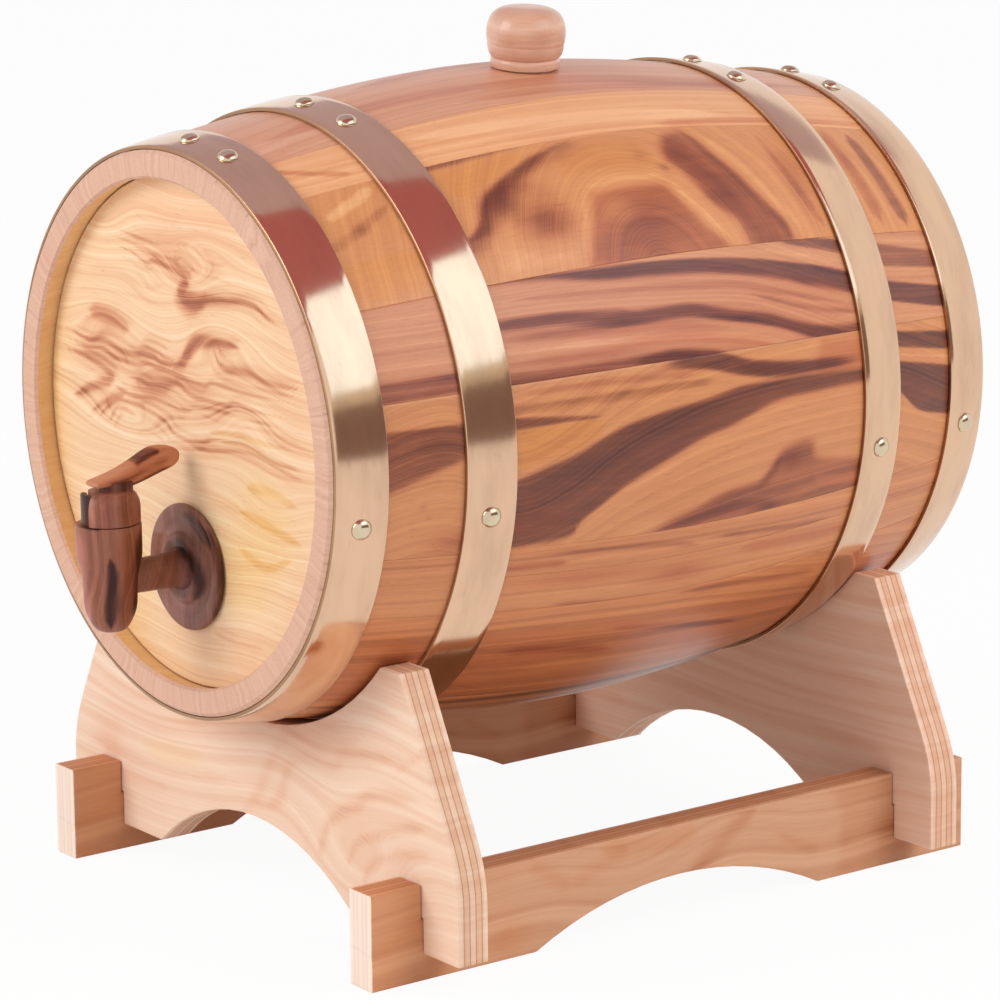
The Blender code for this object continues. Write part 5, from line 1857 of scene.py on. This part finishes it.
FLANGE_WOOD = Wood(
    "flange_wood",
    shades((62, 30, 20), (104, 62, 48), (138, 92, 78), (164, 120, 106), (194, 154, 140)),
    level=0.46, ring_pitch=3.4, ring_depth=0.4, line_depth=0.2, wander=2.0, fibre_depth=0.25,
    blush=(0.97, 0.84, 0.96), gold=(0.98, 0.72, 0.46), roughness=0.46, specular=0.2, coat=0.12,
    seed=18.0)
PLATE_BOARD = Board(Sweep((-115, 40, -60, 38, -20, 42, 10, 46, 40, 44, 70, 48, 115, 44)), (
    HazyLine((0, 33, 10, 37, 16, 42, 20, 52, 30, 57, 45, 58, 52, 62, 70, 66, 90, 70), (2, 2.8,
        2.4, 3.2), 0.34, 0.5),
    HazyLine((36, 26, 38, 30, 42, 38, 50, 44, 58, 48, 65, 53, 80, 56, 96, 58), (2.2, 2.6, 2.4),
        0.42, 0.4),
    HazyLine((51, 25, 56, 34, 62, 38, 72, 42, 85, 47, 98, 50), (1.8, 2.4), 0.4, 0.4),
    HazyLine((60, 22, 64, 29, 72, 34, 86, 39, 100, 41), (1.6, 2.2), 0.34, 0.4),
    HazyLine((-8, 30, 2, 38, 8, 48, 20, 60, 40, 64, 66, 72), (2.4, 3.4), 0.24, 0.6),
    HazyLine((-104, 50, -60, 48, -30, 54, 6, 60, 36, 70, 60, 76), (3, 3.6), 0.24, 0.6),
    HazyLine((-104, 36, -70, 33, -40, 35, -12, 40), (2.4, 2.2), 0.2, 0.5),
    HazyLine((-100, 60, -70, 56, -44, 60, -20, 66, 4, 76), (2, 3), 0.2, 0.4),
    HazyLine((-96, 28, -70, 26, -50, 28), (2, 2), 0.2, 0.2),
    Patch((-65, 41, -48, 44, -34, 42, -34, 36, -50, 34, -65, 36), 0.06, -0.4, 6),
    Spot((-88, 38), (10, 9), 0.05, 0.8), Spot((70, 20), (12, 8), 0.1, 0.5),
    Stroke((40, 78, 60, 82, 84, 80), (1.2, 1.2), 0.26, 0.4),
    Stroke((76, 62, 92, 72, 98, 86), (1.4, 1.2), 0.26, 0.3)), (
    Swell((62, 26), (26, 18), 22), Swell((-60, 60), (40, 14), 8)))
BACK_BOARD = Board(Sweep((-115, 30, -40, 34, 30, 31, 115, 36)), (
    # This band makes the whole rear plate paler and rosier: painted light on its inner face,
    # which lies in the barrel's shade.
    Band((-130, 200, 130, 200), (-130, -10, 130, -10), -0.4, 1),
    HazyLine((-60, 56, 20, 60, 90, 58), (3, 3), 0.24, 0.4),
    HazyLine((-20, 44, 40, 47, 100, 44), (2.6, 2.6), 0.2, 0.3),
    HazyLine((-100, 38, -30, 36, 30, 40, 100, 34), (2.2, 2.8), 0.2, 0.4),
    HazyLine((-100, 22, -70, 26, -50, 24), (2.4, 2), 0.25, 0.2)))
RAIL_BOARD = Board(Sweep((-125, 20, -60, 24, -20, 18, 20, 26, 60, 20, 125, 24)), (
    HazyLine((5, 12, 8, 15, 15, 20, 22, 25, 33, 31), (2.8, 4, 3), 0.4, 0.3),
    HazyLine((-44, 18, -36, 22, -30, 24, -20, 27), (2.8, 2.6), 0.2, 0.3),
    HazyLine((-34, 29, -10, 26, 8, 27), (3, 3.4), 0.2, 0.5),
    HazyLine((-60, 29, -52, 24, -44, 18), (2.4, 2.6), 0.16, 0.4),
    Band((-200, 60, -120.3, 60), (-200, -10, -120.3, -10), -1.3, -0.9, (1, 1, 0.12)),
    Patch((60, 32, 66, 22, 66, 10, 68, -2, 96, -2, 96, 32), 0.3, 0.2, 4),
    Spot((88, 11), (6, 6), 0.4), Spot((-69, 7), (10, 6), 0.2, 0.7),
    HazyLine((40, 20, 50, 14, 58, 10), (1.8, 2), 0.24, 0.3),
    Band((-140, 60, -90, 60), (-140, -10, -90, -10), -0.16, 0.8, (1, 1, 4)),
    HazyLine((-122, 12, -108, 16, -98, 22), (2, 2.2), 0.3, 0.2)))


@dataclass
class Stand:
    """The two cradle plates and the two rails of the stand."""

    bevel: float = 0.0005
    sharp_degrees: float = 32.0
    pitch: float = 0.0014

    def build(self) -> list[Piece]:
        """Make all four sheets.

        Returns:
            The pieces.
        """
        return [self.sheet("plate_front", "cradle_front", (0, 2, 1), PLATE_PLY, PLATE_BOARD),
                self.sheet("plate_rear", "cradle_rear", (0, 2, 1), PLATE_PLY, BACK_BOARD),
                self.sheet("rail_left", "runner_left", (1, 2, 0), RAIL_PLY, RAIL_BOARD),
                self.sheet("rail_right", "runner_right", (1, 2, 0), RAIL_PLY, RAIL_BOARD)]

    def sheet(self, node: str, name: str, order: tuple[int, int, int], wood: Plywood,
              board: Board) -> Piece:
        """Make one sheet with eased edges from the outline of its solid.

        Args:
            node: The solid that gives the outline.
            name: The piece's name.
            order: Which axes run along, across and through the sheet.
            wood: Its finish.
            board: Its figure.

        Returns:
            The piece.
        """
        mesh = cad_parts[node].data.copy()
        mesh.materials.clear()
        work = bmesh.new()
        work.from_mesh(mesh)
        bmesh.ops.remove_doubles(work, verts=work.verts, dist=1e-6)
        bmesh.ops.dissolve_limit(work, angle_limit=math.radians(0.5), verts=work.verts,
                                 edges=work.edges)
        sharp = [edge for edge in work.edges if len(edge.link_faces) == 2
                 and edge.calc_face_angle(0.0) > math.radians(self.sharp_degrees)]
        bmesh.ops.bevel(work, geom=sharp, offset=self.bevel, segments=2, profile=0.6,
                        affect="EDGES", clamp_overlap=True)
        low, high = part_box(node)
        for axis in order[:2]:
            normal = Vector([1.0 if index == axis else 0.0 for index in range(3)])
            count = int((high[axis] - low[axis]) / self.pitch)
            for cut in range(1, count):
                spot = Vector(low)
                spot[axis] = low[axis] + (high[axis] - low[axis]) * cut / count
                bmesh.ops.bisect_plane(work, geom=[*work.verts, *work.edges, *work.faces],
                                       plane_co=spot, plane_no=normal, dist=1e-7)
        work.to_mesh(mesh)
        work.free()
        piece = linked(name, mesh)
        points = points_of(mesh)
        middle = (Vector(low) + Vector(high)) / 2
        centre = np.array([0.0, CASK.setback, 0.0])
        centre[order[2]] = middle[order[2]]
        grain = (points - centre)[:, order]
        board.paint(mesh, grain)
        for layer in [item for item in mesh.attributes if item.name == "custom_normal"]:
            mesh.attributes.remove(layer)
        mesh.materials.append(material_of(wood))
        smooth(piece, 30.0)
        return fit(piece, Body.STAND, node, node)


def flat_sheet(name: str, wide: float, tall: float) -> Piece:
    """Put a flat sheet in the scene, its middle at the origin.

    Args:
        name: Its name.
        wide: Size along X.
        tall: Size along Y.

    Returns:
        The sheet.
    """
    x, y = wide / 2, tall / 2
    mesh = bpy.data.meshes.new(name)
    mesh.from_pydata([(-x, -y, 0.0), (x, -y, 0.0), (x, y, 0.0), (-x, y, 0.0)], [],
                     [(0, 1, 2, 3)])
    return linked(name, mesh)


def aim_at(thing: Piece, place: Triple, aim: Triple) -> None:
    """Stand a lamp or a card at a place, facing another."""
    thing.location = place
    thing.rotation_euler = (Vector(aim) - Vector(place)).to_track_quat("-Z", "Y").to_euler()


@dataclass
class Studio:
    """Floor, soft lights, coloured cards for the metal to mirror, and the camera."""

    azimuth: float = 53.5145
    elevation: float = 13.0188
    roll: float = -0.6146
    distance: float = 1.4825
    target: Triple = (-0.0029, 0.0165, 0.1194)
    lens: float = 161.77
    sensor: float = 36.0
    ambient: float = 0.56
    floor_size: float = 12.0
    floor_drop: float = 0.0002
    floor_white: float = 0.94

    def build(self) -> None:
        """Set up everything round the object."""
        self.world()
        self.floor()
        self.lights()
        self.cards()
        self.camera()
        bpy.context.scene.view_settings.view_transform = "Standard"

    def seen(self, tree: bpy.types.NodeTree) -> Socket:
        """Tell the rays that show the background from the rays that light.

        Args:
            tree: The tree that asks.

        Returns:
            A share that is 1 on those that show it and 0 on the others.
        """
        path = tree.nodes.new("ShaderNodeLightPath")
        total = path.outputs["Is Camera Ray"]
        for name in ("Is Glossy Ray", "Is Transmission Ray"):
            node = tree.nodes.new("ShaderNodeMath")
            node.operation = "MAXIMUM"
            tree.links.new(total, node.inputs[0])
            tree.links.new(path.outputs[name], node.inputs[1])
            total = node.outputs[0]
        return total

    def world(self) -> None:
        """White to look at, softer as a light."""
        world = bpy.data.worlds.new("studio")
        bpy.context.scene.world = world
        world.use_nodes = True
        tree = world.node_tree
        back = tree.nodes["Background"]
        back.inputs["Color"].default_value = (1.0, 1.0, 1.0, 1.0)
        level = tree.nodes.new("ShaderNodeMapRange")
        tree.links.new(self.seen(tree), level.inputs["Value"])
        level.inputs["To Min"].default_value = self.ambient
        level.inputs["To Max"].default_value = 1.0
        tree.links.new(level.outputs[0], back.inputs["Strength"])

    def floor(self) -> None:
        """A pale floor that is nearly white to the camera and keeps a soft shadow."""
        plane = flat_sheet("floor", self.floor_size, self.floor_size)
        plane.location.z = -self.floor_drop
        bench = Bench("floor_paper")
        bench.shader.inputs["Base Color"].default_value = (0.92, 0.92, 0.92, 1.0)
        bench.shader.inputs["Roughness"].default_value = 0.9
        glow = bench.add("ShaderNodeEmission")
        mix = bench.add("ShaderNodeMixShader")
        share = bench.sum("MULTIPLY", self.seen(bench.tree), self.floor_white)
        bench.feed(mix.inputs[0], share)
        bench.tree.links.new(bench.shader.outputs[0], mix.inputs[1])
        bench.tree.links.new(glow.outputs[0], mix.inputs[2])
        bench.tree.links.new(mix.outputs[0], bench.tree.nodes["Material Output"].inputs[0])
        plane.data.materials.append(bench.material)

    def lamp(self, name: str, place: Triple, aim: Triple, size: Point, power: float,
             colour: Colour) -> Piece:
        """A soft rectangular light.

        Args:
            name: Its name.
            place: Where it stands.
            aim: The point that it faces.
            size: Its width and height.
            power: Its power in watts.
            colour: Its colour.

        Returns:
            The light.
        """
        data = bpy.data.lights.new(name, "AREA")
        data.shape = "RECTANGLE"
        data.size, data.size_y = size
        data.energy = power
        data.color = colour
        lamp = linked(name, data)
        aim_at(lamp, place, aim)
        return lamp

    def lights(self) -> None:
        """A broad key in front of the tap and a softbox beside the barrel."""
        self.lamp("key", (-0.35, -1.45, 0.95), (0.0, 0.0, 0.15), (0.9, 0.9), 13.0,
                  (1.0, 0.98, 0.95))
        softbox = self.lamp("softbox", (0.76, 0.33, 0.72), (0.0, -0.05, 0.18), (0.56, 0.60),
                            4.3, (1.0, 0.96, 0.90))
        softbox.visible_glossy = False

    def card(self, name: str, place: Triple, aim: Triple, size: Point, colour: Colour) -> None:
        """A card that only shiny surfaces see.

        Args:
            name: Its name.
            place: Its middle.
            aim: The point that it faces.
            size: Its width and height.
            colour: The colour that it shows.
        """
        card = flat_sheet(name, *size)
        aim_at(card, place, aim)
        card.visible_camera = False
        card.visible_diffuse = False
        card.visible_shadow = False
        card.visible_transmission = False
        bench = Bench(name + "_paint")
        glow = bench.add("ShaderNodeEmission")
        glow.inputs["Color"].default_value = (*colour, 1.0)
        bench.tree.links.new(glow.outputs[0], bench.tree.nodes["Material Output"].inputs[0])
        card.data.materials.append(bench.material)

    def cards(self) -> None:
        """Give the hoops a ceiling, a softbox and darker strips to mirror."""
        self.card("ceiling_card", (0.72, 0.1, 1.5), (0.72, 0.1, 0.0), (1.5, 2.6),
                  (0.49, 0.18, 0.20))
        self.card("far_card", (-1.48, 0.5, 1.5), (-1.48, 0.5, 0.0), (2.9, 2.9),
                  (0.57, 0.48, 0.55))
        self.card("softbox_card", (0.84, 0.306, 0.84), (0.0, -0.05, 0.18), (1.06, 0.72),
                  (1.45, 1.80, 2.10))
        self.card("gold_card", (1.0, 0.364, 0.495), (0.0, -0.05, 0.18), (1.2, 0.10),
                  (0.72, 0.66, 0.52))
        self.card("low_card", (1.41, 0.51, 0.31), (0.0, 0.0, 0.31), (1.7, 0.54),
                  (0.26, 0.18, 0.16))
        # A dark sheet on the floor under the barrel that only shiny surfaces see: painted shade,
        # the barrel's shadow as the hoops and the staves mirror it.
        self.card("under_card", (0.0, 0.0, 0.0006), (0.0, 0.0, 1.0), (0.16, 0.15),
                  (0.18, 0.08, 0.04))

    def camera(self) -> None:
        """Stand the camera where the photograph was taken from."""
        side, rise = math.radians(self.azimuth), math.radians(self.elevation)
        back = Vector((math.sin(side) * math.cos(rise), -math.cos(side) * math.cos(rise),
                       math.sin(rise)))
        right = Vector((math.cos(side), math.sin(side), 0.0))
        up = back.cross(right)
        turn = math.radians(self.roll)
        across = right * math.cos(turn) + up * math.sin(turn)
        upward = up * math.cos(turn) - right * math.sin(turn)
        data = bpy.data.cameras.new("camera")
        data.lens = self.lens
        data.sensor_width = self.sensor
        camera = linked("camera", data)
        spot = Vector(self.target) + back * self.distance
        camera.matrix_world = Matrix((
            (across.x, upward.x, back.x, spot.x), (across.y, upward.y, back.y, spot.y),
            (across.z, upward.z, back.z, spot.z), (0.0, 0.0, 0.0, 1.0)))
        bpy.context.scene.camera = camera


def main() -> None:
    """Build every sub-assembly in order; each piece's face count is logged as it is fitted."""
    logging.basicConfig(level=logging.INFO, format="%(name)s: %(message)s")
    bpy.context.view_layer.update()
    boards = [TOP_BOARD, BRIGHT_BOARD, FLAME_BOARD, MAUVE_BOARD, SWEEP_BOARD, STRIP_BOARD,
              SALMON_BOARD, LOWER_BOARD, *hidden_boards()]
    staves = Staves()
    for number, (board, tone) in enumerate(zip(boards, STAVE_TONES), start=1):
        staves.build(number, board, tone)
    Head("head_board_front", "front_head", 1, rippled(FRONT_HEAD_BOARD, 2.3)).build()
    Head("head_board_rear", "rear_head", -1, rippled(REAR_HEAD_BOARD, 3.0)).build()
    Hoops().build()
    Bung().build()
    Tap().build()
    Stand().build()
    Studio().build()


if __name__ == "__main__":
    main()
